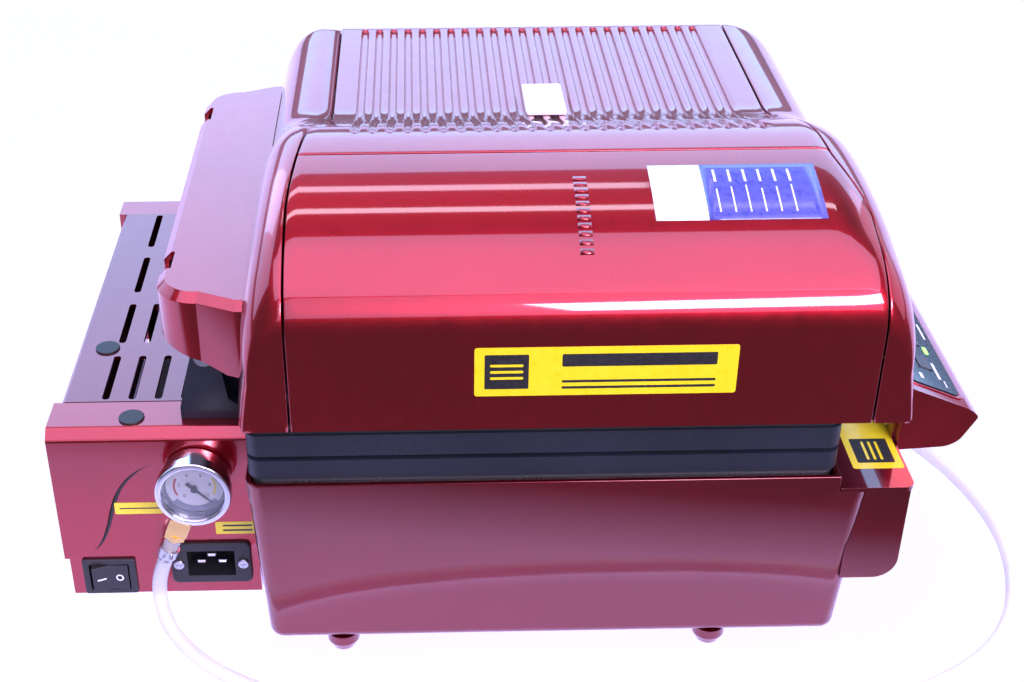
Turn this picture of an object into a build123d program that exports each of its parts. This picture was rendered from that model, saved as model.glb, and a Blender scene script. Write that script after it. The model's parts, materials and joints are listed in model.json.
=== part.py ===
from build123d import *
from math import acos, atan2, cos, degrees, hypot, pi, radians, sin, sqrt, tan
import os

# Vacuum heat press for printing cups and plates: a deep tub with a perforated platen, a sprung
# membrane frame, a domed hood with heating tubes, a rear box with pump and fan, a front console.
# Millimetres. +X is the machine's right, -Y its front, +Z up, origin on the floor under its middle.
# Depths are counted from the middle of the tub's opening and shifted once, when a part is written.

# ---------------------------------------------------------------- driving sizes
machine_length = 404.0      # left to right over the tub's rim and the hood
chamber_depth = 340.0       # front to rear over the tub's rim
foot_height = 12.0          # floor to the tub's underside
foot_inset = 18.0
tub_height = 123.0          # underside of the tub to its rim
tub_draft = 7.0             # how much each wall leans in by the bottom
tub_wall = 3.0
tub_corner = 9.0
tub_front_depth = 19.0      # the tub reaches this far forward under the ledge

ledge_depth = 43.5          # ledge in front of the opening
ledge_drop = 8.0            # the ledge lies this much below the rim
ledge_thickness = 3.0
block_height = 66.0         # cover that hangs under the ledge
block_round = 14.0

band_height = 12.0          # lower band of the membrane frame
upper_band_height = 14.0
band_gap = 3.0              # membrane and groove between the bands
band_inset = 3.0            # bands stand back from the hood's near wall
band_width = 24.0
gasket_height = 3.0
seal_gap = 0.3              # a soft strip stays this clear of what it meets
frame_to_hood = 4.0         # upper band to the hood's lower edge

hood_front_proud = 38.0     # the hood's front wall stands this far out from the rim
hood_rear_proud = 3.0
hood_wall = 3.0
near_wall_height = 61.0     # upright part of the hood's left wall
crest_rise = 120.0          # crest of the bulge above the hood's lower edge
ribbed_rise = 89.0          # ribbed top above the hood's lower edge
crest_x = -75.0             # where the bulge is highest
knee_x = 40.0               # where the ribbed flat begins
far_roll = 14.0             # the ribbed top rolls into the right wall over this length
front_roll = 44.0           # the top rolls this far into the front wall
rear_roll = 30.0
roll_share = 0.52           # and over this share of the height
near_end_roll = 30.0        # both rolls tighten to this at the left end
wall_lean = 5.0             # front and rear walls lean in by this much
taper_length = 30.0         # towards each end the hood narrows over this length
taper_depth = 5.0
seam_gap = 0.8              # joint between two mouldings
cross_seam_x = -95.0
front_seam_inset = (26.0, 40.0, 50.0)   # seam to front wall at the bulge's foot, crest and ribs
rear_seam_inset = (31.0, 35.0, 49.0)

rib_count = 24
rib_pitch = 10.5
rib_groove = 5.0
rib_depth = 2.2
rib_first_y = 106.0
rib_near_x = -66.0
rib_far_x = 188.0

box_length = 310.0          # rear box, left to right
box_depth = 114.0
box_bottom = 17.0
box_height = 124.0
box_wall = 2.5
recess_depth = 1.5          # low step in the left cap's face
cap_proud = 4.5             # end caps stand out behind the cover
left_cap_length = 33.0
right_cap_length = 27.0
slot_length = 49.5
slot_width = 4.6
slot_pitch_x = 65.4
slot_pitch_y = 16.0

hinge_reach = 22.0          # hinge axis behind the hood's rear wall
hinge_z = 185.0
pin_radius = 4.0
pin_clearance = 0.05
fairing_half_length = 150.0
fairing_reach = 25.0        # back of the fairing behind the hinge axis
fairing_drop = 4.0          # its lower edge below the axis
fairing_rise = 15.0         # its lower edge climbs towards the rear
fairing_above = 45.0        # its top above the axis

badge_length = 54.0
badge_width = 26.0
badge_near_x = 21.0

console_length = 320.0
console_reach = 46.0        # nose of the console in front of the ledge
console_wall = 2.5
key_length = 15.0
key_width = 9.0

gauge_setback = 33.0        # behind the front of the rear box
gauge_z = 110.0
gauge_radius = 22.5
tee_z = 80.0
tee_lean = 22.0             # gauge stem and hose barb lean towards the rear
hose_radius = 4.6
hose_bore = 3.0
running_gap = 0.5

# ---------------------------------------------------------------- sizes that follow
half_x = machine_length / 2
half_y = chamber_depth / 2
rim_z = foot_height + tub_height
gasket_top = rim_z + gasket_height
band_bottom = gasket_top + seal_gap
groove_z = band_bottom + band_height
upper_band_z = groove_z + band_gap
band_top = upper_band_z + upper_band_height
hood_z = band_top + frame_to_hood
band_x = half_x - band_inset
band_y = half_y - 2.0
tub_front = -half_y - tub_front_depth
ledge_front = -half_y - ledge_depth
ledge_top = rim_z - ledge_drop
ledge_z = ledge_top - ledge_thickness
hood_front = half_y + hood_front_proud
hood_rear = half_y + hood_rear_proud
front_seam = [hood_front - inset for inset in front_seam_inset]
rear_seam = [hood_rear - inset for inset in rear_seam_inset]
hinge_y = hood_rear + hinge_reach
fairing_rear = hinge_y + fairing_reach
fairing_bottom = hinge_z - fairing_drop
fairing_top = hinge_z + fairing_above
box_front = half_y + 1.0
box_rear = box_front + box_depth + 2.0
cap_rear = box_rear + cap_proud
box_top = box_bottom + box_height
box_x = box_length / 2
gauge_y = box_front + gauge_setback
console_nose = ledge_front - console_reach
y_shift = (-console_nose - cap_rear) / 2


def block(x0, x1, y0, y1, z0, z1):
    """A box between two corners."""
    return Pos((x0 + x1) / 2, (y0 + y1) / 2, (z0 + z1) / 2) * Box(x1 - x0, y1 - y0, z1 - z0)


def rod(radius, start, end):
    """A round bar between two points."""
    path = Edge.make_line(start, end)
    return extrude(Plane(origin=start, z_dir=path % 0) * Circle(radius), path.length)


def ring(outer_x, y0, y1, width, z0, z1, corner):
    """A flat rectangular frame with rounded outer corners, given width all round."""
    middle = Pos(0, (y0 + y1) / 2, z0)
    outside = extrude(middle * RectangleRounded(2 * outer_x, y1 - y0, corner), z1 - z0)
    inside = middle * RectangleRounded(2 * (outer_x - width), y1 - y0 - 2 * width, corner)
    return outside - extrude(inside, z1 - z0)


def group(shapes):
    """Separate solids kept together in one node."""
    return Compound([solid for shape in shapes for solid in shape.solids()])


def side_profile(points, x0, x1):
    """A closed outline in Y and Z, carried from x0 to x1."""
    outline = make_face(Plane.YZ * Polyline([*points, points[0]]))
    return Pos(x0, 0, 0) * extrude(outline, x1 - x0, dir=(1, 0, 0))


# ---------------------------------------------------------------- tub and chamber
def tub_form(inset, z0, z1):
    """The tub's leaning outside, or the same drawn in by a wall."""
    sections = []
    for z in (z0, z1):
        lean = tub_draft * (rim_z - z) / tub_height + inset
        depth = half_y - tub_front - 2 * lean
        middle = Pos(0, (half_y + tub_front) / 2, z)
        sections.append(middle * RectangleRounded(machine_length - 2 * lean, depth, tub_corner - inset))
    return loft(sections)


def make_tub():
    shell = tub_form(0, foot_height, rim_z)
    shell = fillet(shell.faces().sort_by(Axis.Z)[0].edges(), 8)
    step = -half_y + tub_wall
    inside = tub_form(tub_wall, foot_height + tub_wall, rim_z)
    inside -= block(-half_x, half_x, tub_front - 1, step, ledge_z - tub_wall, rim_z)
    shell -= block(-half_x, half_x, tub_front - 1, -half_y, ledge_z, rim_z)
    return shell - inside


liner_x = 165.0
liner_y = 140.0
liner_floor = foot_height + 33.0
liner_wall = 2.0
flange_thickness = 3.0


def make_chamber_liner():
    flange_x = half_x - tub_wall - 0.8
    flange_y = half_y - tub_wall - 0.8
    flange = block(-flange_x, flange_x, -flange_y, flange_y, rim_z - flange_thickness, rim_z)
    flange = fillet(flange.edges().filter_by(Axis.Z), tub_corner)
    pan = block(-liner_x, liner_x, -liner_y, liner_y, liner_floor, rim_z)
    inside_x = liner_x - liner_wall
    inside_y = liner_y - liner_wall
    inside = block(-inside_x, inside_x, -inside_y, inside_y, liner_floor + liner_wall, rim_z)
    return flange + pan - inside


def corner_posts(x, y, radius, z0, z1):
    """Posts at four corners and one at the middle of each long side."""
    return group([rod(radius, (px, py, z0), (px, py, z1)) for px in (-x, 0, x) for py in (-y, y)])


platen_z = liner_floor + 17.0
platen_thickness = 4.0


def make_support_posts():
    """Posts that carry the liner above the tub's floor, and the platen above the liner's."""
    under_liner = corner_posts(130, 110, 8, foot_height + tub_wall, liner_floor)
    return group([under_liner, corner_posts(140, 118, 5, liner_floor + liner_wall, platen_z)])


def make_platen():
    plate = block(-158, 158, -133, 133, platen_z, platen_z + platen_thickness)
    spots = [spot.position for spot in GridLocations(26, 26, 11, 9)]
    holes = [rod(3.0, (x, y, platen_z), (x, y, platen_z + platen_thickness)) for x, y, _ in spots]
    return plate - holes


def make_tub_gasket():
    return ring(band_x - 3, -band_y + 1, band_y - 3, 8, rim_z, gasket_top, 6)


def make_ledge_plate():
    """Flat shelf in front of the opening, turned up at the front to carry the console."""
    plate = block(-half_x, half_x, ledge_front, -half_y - 0.3, ledge_z, ledge_top)
    plate = fillet(plate.edges().filter_by(Axis.Z).group_by(Axis.Y)[0], 6)
    upstand = block(-console_x + 6, console_x - 6, ledge_front, ledge_front + 1.8, ledge_z, 158)
    plate += upstand
    for x in bolt_x:
        plate -= rod(bolt_radius, (x, ledge_front - 1, bolt_z), (x, ledge_front + 4, bolt_z))
    return plate


block_x = half_x - 3.0
block_rear = tub_front + 10.0
block_bottom = ledge_z - block_height


def make_front_block():
    body = block(-block_x, block_x, ledge_front + 1.5, block_rear, block_bottom, ledge_z)
    lower_front = body.edges().filter_by(Axis.X).sort_by(Axis.Z)[0:2].sort_by(Axis.Y)[0]
    body = fillet(lower_front, block_round)
    inside = block(-block_x + 3, block_x - 3, ledge_front + 4.5, block_rear, block_bottom + 3, ledge_z - 3)
    inside_edge = inside.edges().filter_by(Axis.X).sort_by(Axis.Z)[0:2].sort_by(Axis.Y)[0]
    body -= fillet(inside_edge, min(block_round - 4, 15))
    body -= tub_form(-0.3, foot_height, rim_z)
    return body - rod(4.2, (port_x, port_y, block_bottom - 1), (port_x, port_y, block_floor + 1))


def make_tub_feet():
    """Four domed feet under the tub."""
    foot = Pos(0, 0, 6) * Cylinder(10, foot_height - 6, align=(Align.CENTER, Align.CENTER, Align.MIN))
    dome = Pos(0, 0, 6) * Cone(7, 10, 6, align=(Align.CENTER, Align.CENTER, Align.MAX))
    foot = fillet((foot + dome).faces().sort_by(Axis.Z)[0].edges(), 1.5)
    x = half_x - foot_inset
    spots = [(x, 119), (x, -107), (-x, 119), (-x, -107)]
    return group([Pos(px, py, 0) * foot for px, py in spots])


# ---------------------------------------------------------------- rear box
tray_x = box_x - box_wall - recess_depth - 0.3
tray_wall = 2.0
tray_front = box_front + 0.2


def make_rear_tray():
    """Floor and front wall of the rear box, folded from one sheet."""
    floor = block(-tray_x, tray_x, tray_front, box_rear - box_wall - 0.3, box_bottom, box_bottom + tray_wall)
    wall = block(-tray_x, tray_x, tray_front, tray_front + tray_wall, box_bottom, box_top - box_wall)
    wall = chamfer(wall.edges().filter_by(Axis.Y).group_by(Axis.Z)[-1], 8)
    return floor + wall


cover_left = -box_x + left_cap_length
cover_right = box_x - right_cap_length
cover_front = box_front + 0.2


def make_vent_cover():
    """Top with vent slots and rear wall, folded from one sheet."""
    top = block(cover_left, cover_right, cover_front, box_rear, box_top - box_wall, box_top)
    rear = block(cover_left, cover_right, box_rear - box_wall, box_rear, box_bottom, box_top)
    sheet = top + rear
    rear_edge = sheet.edges().filter_by(Axis.X).group_by(Axis.Z)[-1].sort_by(Axis.Y)[-1]
    sheet = fillet(rear_edge, 2)
    slot = extrude(SlotOverall(slot_length, slot_width), 2 * box_wall, both=True)
    middle = Pos(3, box_rear - 26 - 1.5 * slot_pitch_y, box_top)
    slots = [middle * spot * slot for spot in GridLocations(slot_pitch_x, slot_pitch_y, 4, 4)]
    sheet -= slots
    return sheet - rod(plug_radius, (-61, box_rear - 18, box_top - 9), (-61, box_rear - 18, box_top + 1))


plug_radius = 6.5


def make_hole_plugs():
    """Two black press-in plugs in the top of the rear box."""
    plugs = []
    for x, y in ((-140, box_rear - 45), (-61, box_rear - 18)):
        cap = Pos(x, y, box_top) * Cylinder(plug_radius + 1.2, 1.2, align=(Align.CENTER, Align.CENTER, Align.MIN))
        stem = rod(plug_radius - 0.2, (x, y, box_top - 3), (x, y, box_top))
        plugs.append(fillet(cap.edges().sort_by(Axis.Z)[-1], 0.6) + stem)
    return group(plugs)


switch_y = box_front + 94.0
switch_z = 31.5
switch_size = (33.0, 27.0)
inlet_y = box_front + 30.0
inlet_z = 41.5
inlet_size = (50.0, 31.0)


def cap_shell(x_outer, x_inner, rear):
    """An end cap, open towards the middle of the box."""
    x0, x1 = min(x_outer, x_inner), max(x_outer, x_inner)
    body = block(x0, x1, box_front + 0.2, rear, box_bottom, box_top)
    top_edge = body.edges().filter_by(Axis.Y).group_by(Axis.Z)[-1]
    top_edge = top_edge.sort_by(Axis.X)[0 if x_outer < 0 else -1]
    body = chamfer(top_edge, 6)
    deep = box_wall + recess_depth if x_outer < 0 else box_wall
    ends = sorted((x_outer + (deep if x_outer < 0 else -deep), x_inner))
    hollow = block(*ends, box_front - 1, rear - 2 * box_wall, box_bottom - 1, box_top - box_wall)
    inner_edge = hollow.edges().filter_by(Axis.Y).group_by(Axis.Z)[-1]
    hollow = chamfer(inner_edge.sort_by(Axis.X)[0 if x_outer < 0 else -1], 5)
    return body - hollow


def make_left_end_cap():
    """End cap with the gauge, power inlet and switch, and a low S-shaped step in its face."""
    body = cap_shell(-box_x, cover_left, cap_rear)
    foot = cap_rear - 9
    curve = Spline([(foot, 46), (foot - 13, 56), (foot - 24, 86), (foot - 31, 101), (foot - 43, 113), (foot - 54, 117)])
    lead = Line((foot - 54, 117), (box_front, 117.5))
    base = Polyline([(box_front, 117.5), (box_front, 0), (cap_rear + 5, 0), (cap_rear + 5, 46), (foot, 46)])
    area = make_face(Plane.YZ * (curve + lead + base))
    body -= Pos(-box_x, 0, 0) * extrude(area, recess_depth)
    body -= block(-box_x, cover_left, cap_rear - 2.5, cap_rear, box_bottom, 46)
    face = -box_x + recess_depth
    openings = [(switch_y, switch_z, 27.6, 21.6), (inlet_y, inlet_z, 35.6, 25.6)]
    for y, z, wide, high in openings:
        body -= block(face - 2, face + 6, y - wide / 2, y + wide / 2, z - high / 2, z + high / 2)
    for side in (-1, 1):
        body -= rod(1.7, (face - 2, inlet_y + side * 20, inlet_z), (face + 6, inlet_y + side * 20, inlet_z))
    body -= rod(plug_radius, (-140, box_rear - 45, box_top - 8), (-140, box_rear - 45, box_top + 1))
    return body - rod(5.2, (face - 2, tee_y, tee_z), (face + 6, tee_y, tee_z))


def make_right_end_cap():
    """Plain end cap."""
    body = cap_shell(box_x, cover_right, cap_rear)
    upright = body.edges().filter_by(Axis.Z).group_by(Axis.X)[-1].sort_by(Axis.Y)[-1]
    return fillet(upright, 2)


# ---------------------------------------------------------------- power inlet and switch
cap_face = -box_x + recess_depth


def make_inlet_housing():
    """Sixteen-amp inlet: flange, socket well and body behind the face."""
    flange = Pos(cap_face, inlet_y, inlet_z) * extrude(Plane.YZ * RectangleRounded(*inlet_size, 4), -2.6)
    flange = chamfer(flange.faces().sort_by(Axis.X)[0].edges(), 0.7)
    body = block(cap_face, cap_face + 24, inlet_y - 17.5, inlet_y + 17.5, inlet_z - 12.5, inlet_z + 12.5)
    well = block(cap_face - 3, cap_face + 17, inlet_y - 14.7, inlet_y + 14.7, inlet_z - 9.6, inlet_z + 9.6)
    housing = flange + body - well
    for side in (-1, 1):
        spot = inlet_y + side * 20
        housing -= rod(1.7, (cap_face - 3, spot, inlet_z), (cap_face + 1, spot, inlet_z))
    return housing


def make_inlet_pins():
    pins = []
    for y, z in ((0, 3.5), (-6.5, -1.5), (6.5, -1.5)):
        pin = block(cap_face + 1, cap_face + 17, inlet_y + y - 2.6, inlet_y + y + 2.6, inlet_z + z - 1, inlet_z + z + 1)
        pins.append(chamfer(pin.faces().sort_by(Axis.X)[0].edges(), 0.4))
    return group(pins)


def pan_screw(head, x, y, z):
    """A screw driven into the left cap's face along X, with a crossed recess."""
    dome = Pos(x, y, z) * Rot(0, -90, 0) * Cylinder(head, 1.8, align=(Align.CENTER, Align.CENTER, Align.MIN))
    dome = fillet(dome.faces().sort_by(Axis.X)[0].edges(), 0.8)
    cross = block(x - 1.9, x - 1.0, y - 0.4, y + 0.4, z - 1.8, z + 1.8)
    cross += block(x - 1.9, x - 1.0, y - 1.8, y + 1.8, z - 0.4, z + 0.4)
    return dome - cross + rod(1.5, (x, y, z), (x + 7, y, z))


rocker_size = (22.0, 19.0)
rocker_tilt = 9.0
rocker_x = cap_face + 1.0


def make_switch_bezel():
    wide, high = switch_size
    flange = Pos(cap_face, switch_y, switch_z) * extrude(Plane.YZ * RectangleRounded(wide, high, 1.5), -2.4)
    flange = chamfer(flange.faces().sort_by(Axis.X)[0].edges(), 0.8)
    body = block(cap_face, cap_face + 22, switch_y - 13.5, switch_y + 13.5, switch_z - 10.5, switch_z + 10.5)
    half_wide = rocker_size[0] / 2 + running_gap + 0.8
    half_high = rocker_size[1] / 2 + running_gap
    window = block(
        cap_face - 3, cap_face + 9, switch_y - half_wide, switch_y + half_wide,
        switch_z - half_high, switch_z + half_high,
    )
    return flange + body - window


def make_switch_rocker():
    """Rocker key with a shallow V front, at rest pressed to one side."""
    wide, high = rocker_size
    front = [(-wide / 2, -6.0), (0, -3.6), (wide / 2, -6.0), (wide / 2, 1.0), (3, 4.0), (-3, 4.0), (-wide / 2, 1.0)]
    outline = make_face(Polyline([(x, y) for y, x in front] + [(front[0][1], front[0][0])]))
    key = extrude(Pos(0, 0, -high / 2) * outline, high)
    key = fillet(key.faces().sort_by(Axis.X)[0:2].edges().filter_by(Axis.Y, reverse=True), 0.5)
    return Pos(rocker_x, switch_y, switch_z) * Rot(0, 0, rocker_tilt) * key


# ---------------------------------------------------------------- gauge and hose fittings
gauge_back = cap_face - 2.5
gauge_face = gauge_back - 17.0
tee_x = -box_x - 9.5
lean = radians(tee_lean)
tee_reach = (gauge_z - tee_z) / cos(lean)
tee_y = gauge_y + tee_reach * sin(lean)


def down_stem(distance):
    """A place on the line from the gauge's centre through the tee to the hose."""
    return (tee_x, gauge_y + distance * sin(lean), gauge_z - distance * cos(lean))


def disc(radius, x0, x1):
    """A disc of the gauge, about its own axis along X."""
    return rod(radius, (x0, gauge_y, gauge_z), (x1, gauge_y, gauge_z))


def make_gauge_case():
    """Pressed steel can with a square-shouldered stem screwed into the tee."""
    can = disc(20.4, gauge_face + 1, gauge_back) - disc(18.8, gauge_face + 1, gauge_back - 8)
    can = fillet(can.faces().sort_by(Axis.X)[-1].edges(), 2)
    stem = rod(4.2, down_stem(18), down_stem(tee_reach - 6.5))
    return can + (stem - disc(20, gauge_face, gauge_back))


def make_gauge_bezel():
    ring_body = disc(gauge_radius, gauge_face - 4, gauge_face + 4) - disc(20.6, gauge_face + 1, gauge_face + 4)
    ring_body -= disc(18.6, gauge_face - 4, gauge_face + 1)
    return fillet(ring_body.faces().sort_by(Axis.X)[0].edges(), 1.2)


def make_gauge_dial():
    """White dial plate with raised marks round its edge."""
    plate = disc(18.2, gauge_face + 6, gauge_face + 7.5) - disc(1.0, gauge_face + 5, gauge_face + 8)
    marks = []
    for step in range(11):
        turn = radians(225 - 27 * step)
        y, z = 16.0 * cos(turn), 16.0 * sin(turn)
        mark = Rot(degrees(turn) - 90, 0, 0) * Box(0.3, 0.6, 2.6)
        marks.append(Pos(gauge_face + 5.9, gauge_y + y, gauge_z + z) * mark)
    for mark in marks:
        plate += mark
    return plate + (disc(18.78, gauge_face + 7.5, gauge_face + 8.5) - disc(1.0, gauge_face + 5, gauge_face + 9))


def make_gauge_glass():
    return disc(18.4, gauge_face - 1.5, gauge_face)


pointer_angle = -45.0


def make_gauge_pointer():
    """Needle with a short tail and a hub on its arbor."""
    hub = disc(2.0, gauge_face + 2, gauge_face + 4) + disc(0.95, gauge_face + 3, gauge_face + 8)
    outline = Polyline([(-6, -1.2), (-6, 1.2), (14, 0.35), (14, -0.35), (-6, -1.2)])
    needle = extrude(Plane.YZ * make_face(outline), 0.6)
    needle = Pos(gauge_face + 3, gauge_y, gauge_z) * Rot(180 - pointer_angle, 0, 0) * needle
    return hub + needle


barb_length = 22.0
port_length = 14.0
cuff_radius = hose_radius + 0.4
port_x = 64.0
port_y = ledge_front + 20.0
block_floor = block_bottom + 3.0


def fitting(place, length):
    """A hexagon shoulder and a barbed stem, made pointing down from the origin."""
    shoulder = extrude(RegularPolygon(7, 6), -4)
    stem = rod(3.2, (0, 0, 0), (0, 0, -length))
    for step in range(2):
        z = -length + 5 * step
        stem += Pos(0, 0, z) * Cone(3.0, 3.9, 4, align=(Align.CENTER, Align.CENTER, Align.MIN))
    return place * (shoulder + stem - rod(hose_bore - 1, (0, 0, -length), (0, 0, -2)))


def cuff(place, length):
    """The end of the hose, pushed over a barb up to its shoulder."""
    sleeve = rod(cuff_radius, (0, 0, -length), (0, 0, -4.2))
    return place * (sleeve - rod(3.95, (0, 0, -length), (0, 0, -4)))


def clamp(place, length):
    """A spring band round the end of the hose, with two lugs to squeeze."""
    band = rod(cuff_radius + 1.2, (0, 0, -length + 3), (0, 0, -length + 9))
    band -= rod(cuff_radius, (0, 0, -length), (0, 0, 0))
    lugs = block(-cuff_radius - 5, -cuff_radius - 0.4, -3, -1.6, -length + 4, -length + 8)
    lugs += block(-cuff_radius - 5, -cuff_radius - 0.4, 1.6, 3, -length + 4, -length + 8)
    return place * (band + lugs)


tee_place = Pos(*down_stem(tee_reach + 6.5)) * Rot(tee_lean, 0, 0)
port_place = Pos(port_x, port_y, block_bottom)
tee_end = down_stem(tee_reach + 6.5 + barb_length)
port_end = block_bottom - port_length


def make_hose_tee():
    """Brass tee: nipple through the cap, socket for the gauge stem, barb for the hose."""
    body = Pos(tee_x, tee_y, tee_z) * Rot(tee_lean, 0, 0) * Box(13, 13, 13)
    tee = chamfer(body.edges(), 1.2)
    tee += rod(5.0, (tee_x, tee_y, tee_z), (cap_face + 12, tee_y, tee_z))
    tee += rod(6.5, (tee_x, tee_y, tee_z), (cap_face, tee_y, tee_z))
    return tee + fitting(tee_place, barb_length)


def make_hose_port():
    """Barb under the front block where the hose goes back into the chamber."""
    nut = rod(5.0, (port_x, port_y, block_floor), (port_x, port_y, block_floor + 4))
    shank = rod(3.9, (port_x, port_y, block_bottom), (port_x, port_y, block_floor))
    return nut + shank + fitting(port_place, port_length)


def make_hose_cuffs():
    return group([cuff(tee_place, barb_length), cuff(port_place, port_length)])


def make_hose_clamps():
    return group([clamp(tee_place, barb_length), clamp(port_place, port_length)])


# ---------------------------------------------------------------- hose
floor_run = hose_radius + 0.5
left, front = -half_x, console_nose
floor_points = [
    (left - 7, 200), (left - 25, 174), (left - 40, 136), (left - 50, 84), (left - 56, 14),
    (left - 58, -64), (left - 56, -140), (left - 47, front + 56), (left - 24, front + 4),
    (left + 12, front - 34), (left + 62, front - 55), (left + 114, front - 61),
    (left + 164, front - 52), (left + 206, front - 35), (left + 238, front - 14),
]


def bend_to_floor(start, leaving, landing, turns):
    """Corners of the bend from a fitting's direction round to one that lies on the table."""
    first = Vector(*leaving).normalized()
    last = Vector(*landing).normalized()
    whole = acos(first.dot(last))
    headings = []
    for step in range(turns):
        share = step / turns
        headings.append((first * sin(whole * (1 - share)) + last * sin(whole * share)) / sin(whole))
    run = (floor_run - start[2]) / sum(heading.Z for heading in headings)
    points = [Vector(*start)]
    for heading in headings:
        points.append(points[-1] + heading * run)
    return points


def make_vacuum_hose():
    """Silicone hose lying on the table from the tee, round the front, to the port."""
    outlet = bend_to_floor(tee_end, (0, sin(lean), -cos(lean)), (-0.66, -0.75, 0), 5)
    inlet = bend_to_floor((port_x, port_y, port_end), (0, 0, -1), (-0.1, -0.995, 0), 4)
    last = (inlet[-1].X - 4.5, inlet[-1].Y - 19)
    points = outlet + [Vector(x, y, floor_run) for x, y in [*floor_points, last]] + inlet[::-1]
    radii = []
    for before, here, after in zip(points, points[1:], points[2:]):
        turn = (here - before).get_angle(after - here)
        shorter = min((here - before).length, (after - here).length)
        radii.append(0.45 * shorter / tan(radians(turn / 2)))
    print("hose radii", [round(radius) for radius in radii])
    path = FilletPolyline(points, radius=radii)
    start = Plane(origin=path @ 0, z_dir=path % 0)
    hose = sweep(start * Circle(hose_radius), path=path)
    section = pi * hose_radius ** 2
    print("hose length", round(path.length), "volume share", round(hose.volume / section / path.length, 4))
    return hose


# ---------------------------------------------------------------- what the rear box holds
inside_floor = box_bottom + tray_wall
pump_y = box_front + 64.0
pump_port_y = pump_y - 13.0


def make_pump_body():
    """Twin-head diaphragm pump on a foot plate."""
    foot = block(-98, 44, pump_y - 27, pump_y + 27, inside_floor, inside_floor + 3)
    head = block(-96, -56, pump_y - 25, pump_y + 25, inside_floor + 3, inside_floor + 68)
    head = fillet(head.edges().filter_by(Axis.X), 6)
    lid = block(-92, -60, pump_y - 21, pump_y + 21, inside_floor + 68, inside_floor + 74)
    ports = rod(4, (-84, pump_port_y, inside_floor + 73), (-84, pump_port_y, inside_floor + 86))
    ports += rod(4, (-68, pump_y + 13, inside_floor + 73), (-68, pump_y + 13, inside_floor + 86))
    return foot + head + lid + ports


motor_z = inside_floor + 36.0


def make_pump_motor():
    can = rod(26, (-55.5, pump_y, motor_z), (38, pump_y, motor_z))
    can = fillet(can.edges(), 3)
    rear_boss = rod(9, (38, pump_y, motor_z), (43, pump_y, motor_z))
    saddle = block(-40, 24, pump_y - 16, pump_y + 16, inside_floor + 3.2, motor_z)
    return can + rear_boss + saddle


def make_pump_tube():
    """Tube from the pump's inlet to the tee's nipple."""
    start = (-84, pump_port_y, inside_floor + 86)
    points = [start, (-84, pump_port_y, 118), (-110, tee_y, 122), (-128, tee_y, 108), (-128, tee_y, tee_z)]
    points.append((cap_face + 12, tee_y, tee_z))
    path = FilletPolyline(points, radius=[5, 9, 9, 6])
    return sweep(Plane(origin=path @ 0, z_dir=path % 0) * Circle(4), path=path)


def make_power_board():
    """Board with transformer, relays and heat sink on stand-offs from the front wall."""
    wall = tray_front + tray_wall
    board = block(-88, 88, wall + 6, wall + 7.6, 40, 124)
    parts = [block(-70, -38, wall + 7.6, wall + 24, 60, 100), block(-20, 0, wall + 7.6, wall + 22, 52, 80)]
    parts += [block(10, 30, wall + 7.6, wall + 22, 52, 80), block(44, 80, wall + 7.6, wall + 20, 60, 108)]
    for part in parts:
        board += part
    for x in (-82, 82):
        for z in (46, 118):
            board += rod(3, (x, wall, z), (x, wall + 6, z))
    return board


fan_x = 98.0
fan_y = box_front + 64.0
fan_z = inside_floor + 40.0
fan_depth = 25.0


def make_fan_frame():
    """Square fan frame standing on the floor of the rear box, with a spider for the motor."""
    frame = block(fan_x, fan_x + fan_depth, fan_y - 40, fan_y + 40, inside_floor, inside_floor + 80)
    frame = fillet(frame.edges().filter_by(Axis.X), 4)
    frame -= rod(37.5, (fan_x - 1, fan_y, fan_z), (fan_x + fan_depth + 1, fan_y, fan_z))
    spider = rod(13, (fan_x + fan_depth - 4, fan_y, fan_z), (fan_x + fan_depth, fan_y, fan_z))
    for turn in (30, 150, 270):
        reach = Rot(turn, 0, 0) * block(-4, 0, 12, 38.5, -2, 2)
        spider += Pos(fan_x + fan_depth, fan_y, fan_z) * reach
    shaft = rod(1.5, (fan_x + 3, fan_y, fan_z), (fan_x + fan_depth - 4, fan_y, fan_z))
    return frame + spider + shaft


def make_fan_rotor():
    hub = rod(15, (fan_x + 2, fan_y, fan_z), (fan_x + 19, fan_y, fan_z))
    hub -= rod(1.5 + pin_clearance, (fan_x + 2, fan_y, fan_z), (fan_x + 19, fan_y, fan_z))
    rotor = hub
    for step in range(7):
        blade = Box(1.6, 22, 15)
        blade = Pos(fan_x + 10.5, 0, 0) * Rot(0, 0, 0) * Pos(0, 25, 0) * Rot(0, 38, 0) * blade
        rotor += Pos(0, fan_y, fan_z) * Rot(step * 360 / 7, 0, 0) * blade
    return rotor


def make_rear_feet():
    feet = []
    for x in (-120, 120):
        foot = Pos(x, box_rear - 22, 0) * Cylinder(9, box_bottom, align=(Align.CENTER, Align.CENTER, Align.MIN))
        feet.append(fillet(foot.faces().sort_by(Axis.Z)[0].edges(), 1.5))
    return group(feet)


# ---------------------------------------------------------------- front console
console_x = console_length / 2
console_rear = ledge_front - 0.2
console_section = [
    (console_rear, 123.0),
    (console_rear, 168.0),
    (console_nose + 5.0, 151.0),
    (console_nose, 146.0),
    (console_nose + 9.0, 129.0),
    (console_nose + 16.0, 125.0),
]
top_run = console_rear - (console_nose + 5.0)
top_fall = 168.0 - 151.0
top_tilt = degrees(atan2(top_fall, top_run))
top_length = hypot(top_run, top_fall)


def on_console(x, along, above):
    """A place on the console's sloping top: along runs from the rear edge to the nose."""
    slope = radians(top_tilt)
    y = console_rear - along * cos(slope) - above * sin(slope)
    z = 168.0 - along * sin(slope) + above * cos(slope)
    return Pos(x, y, z) * Rot(top_tilt, 0, 0)


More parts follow.
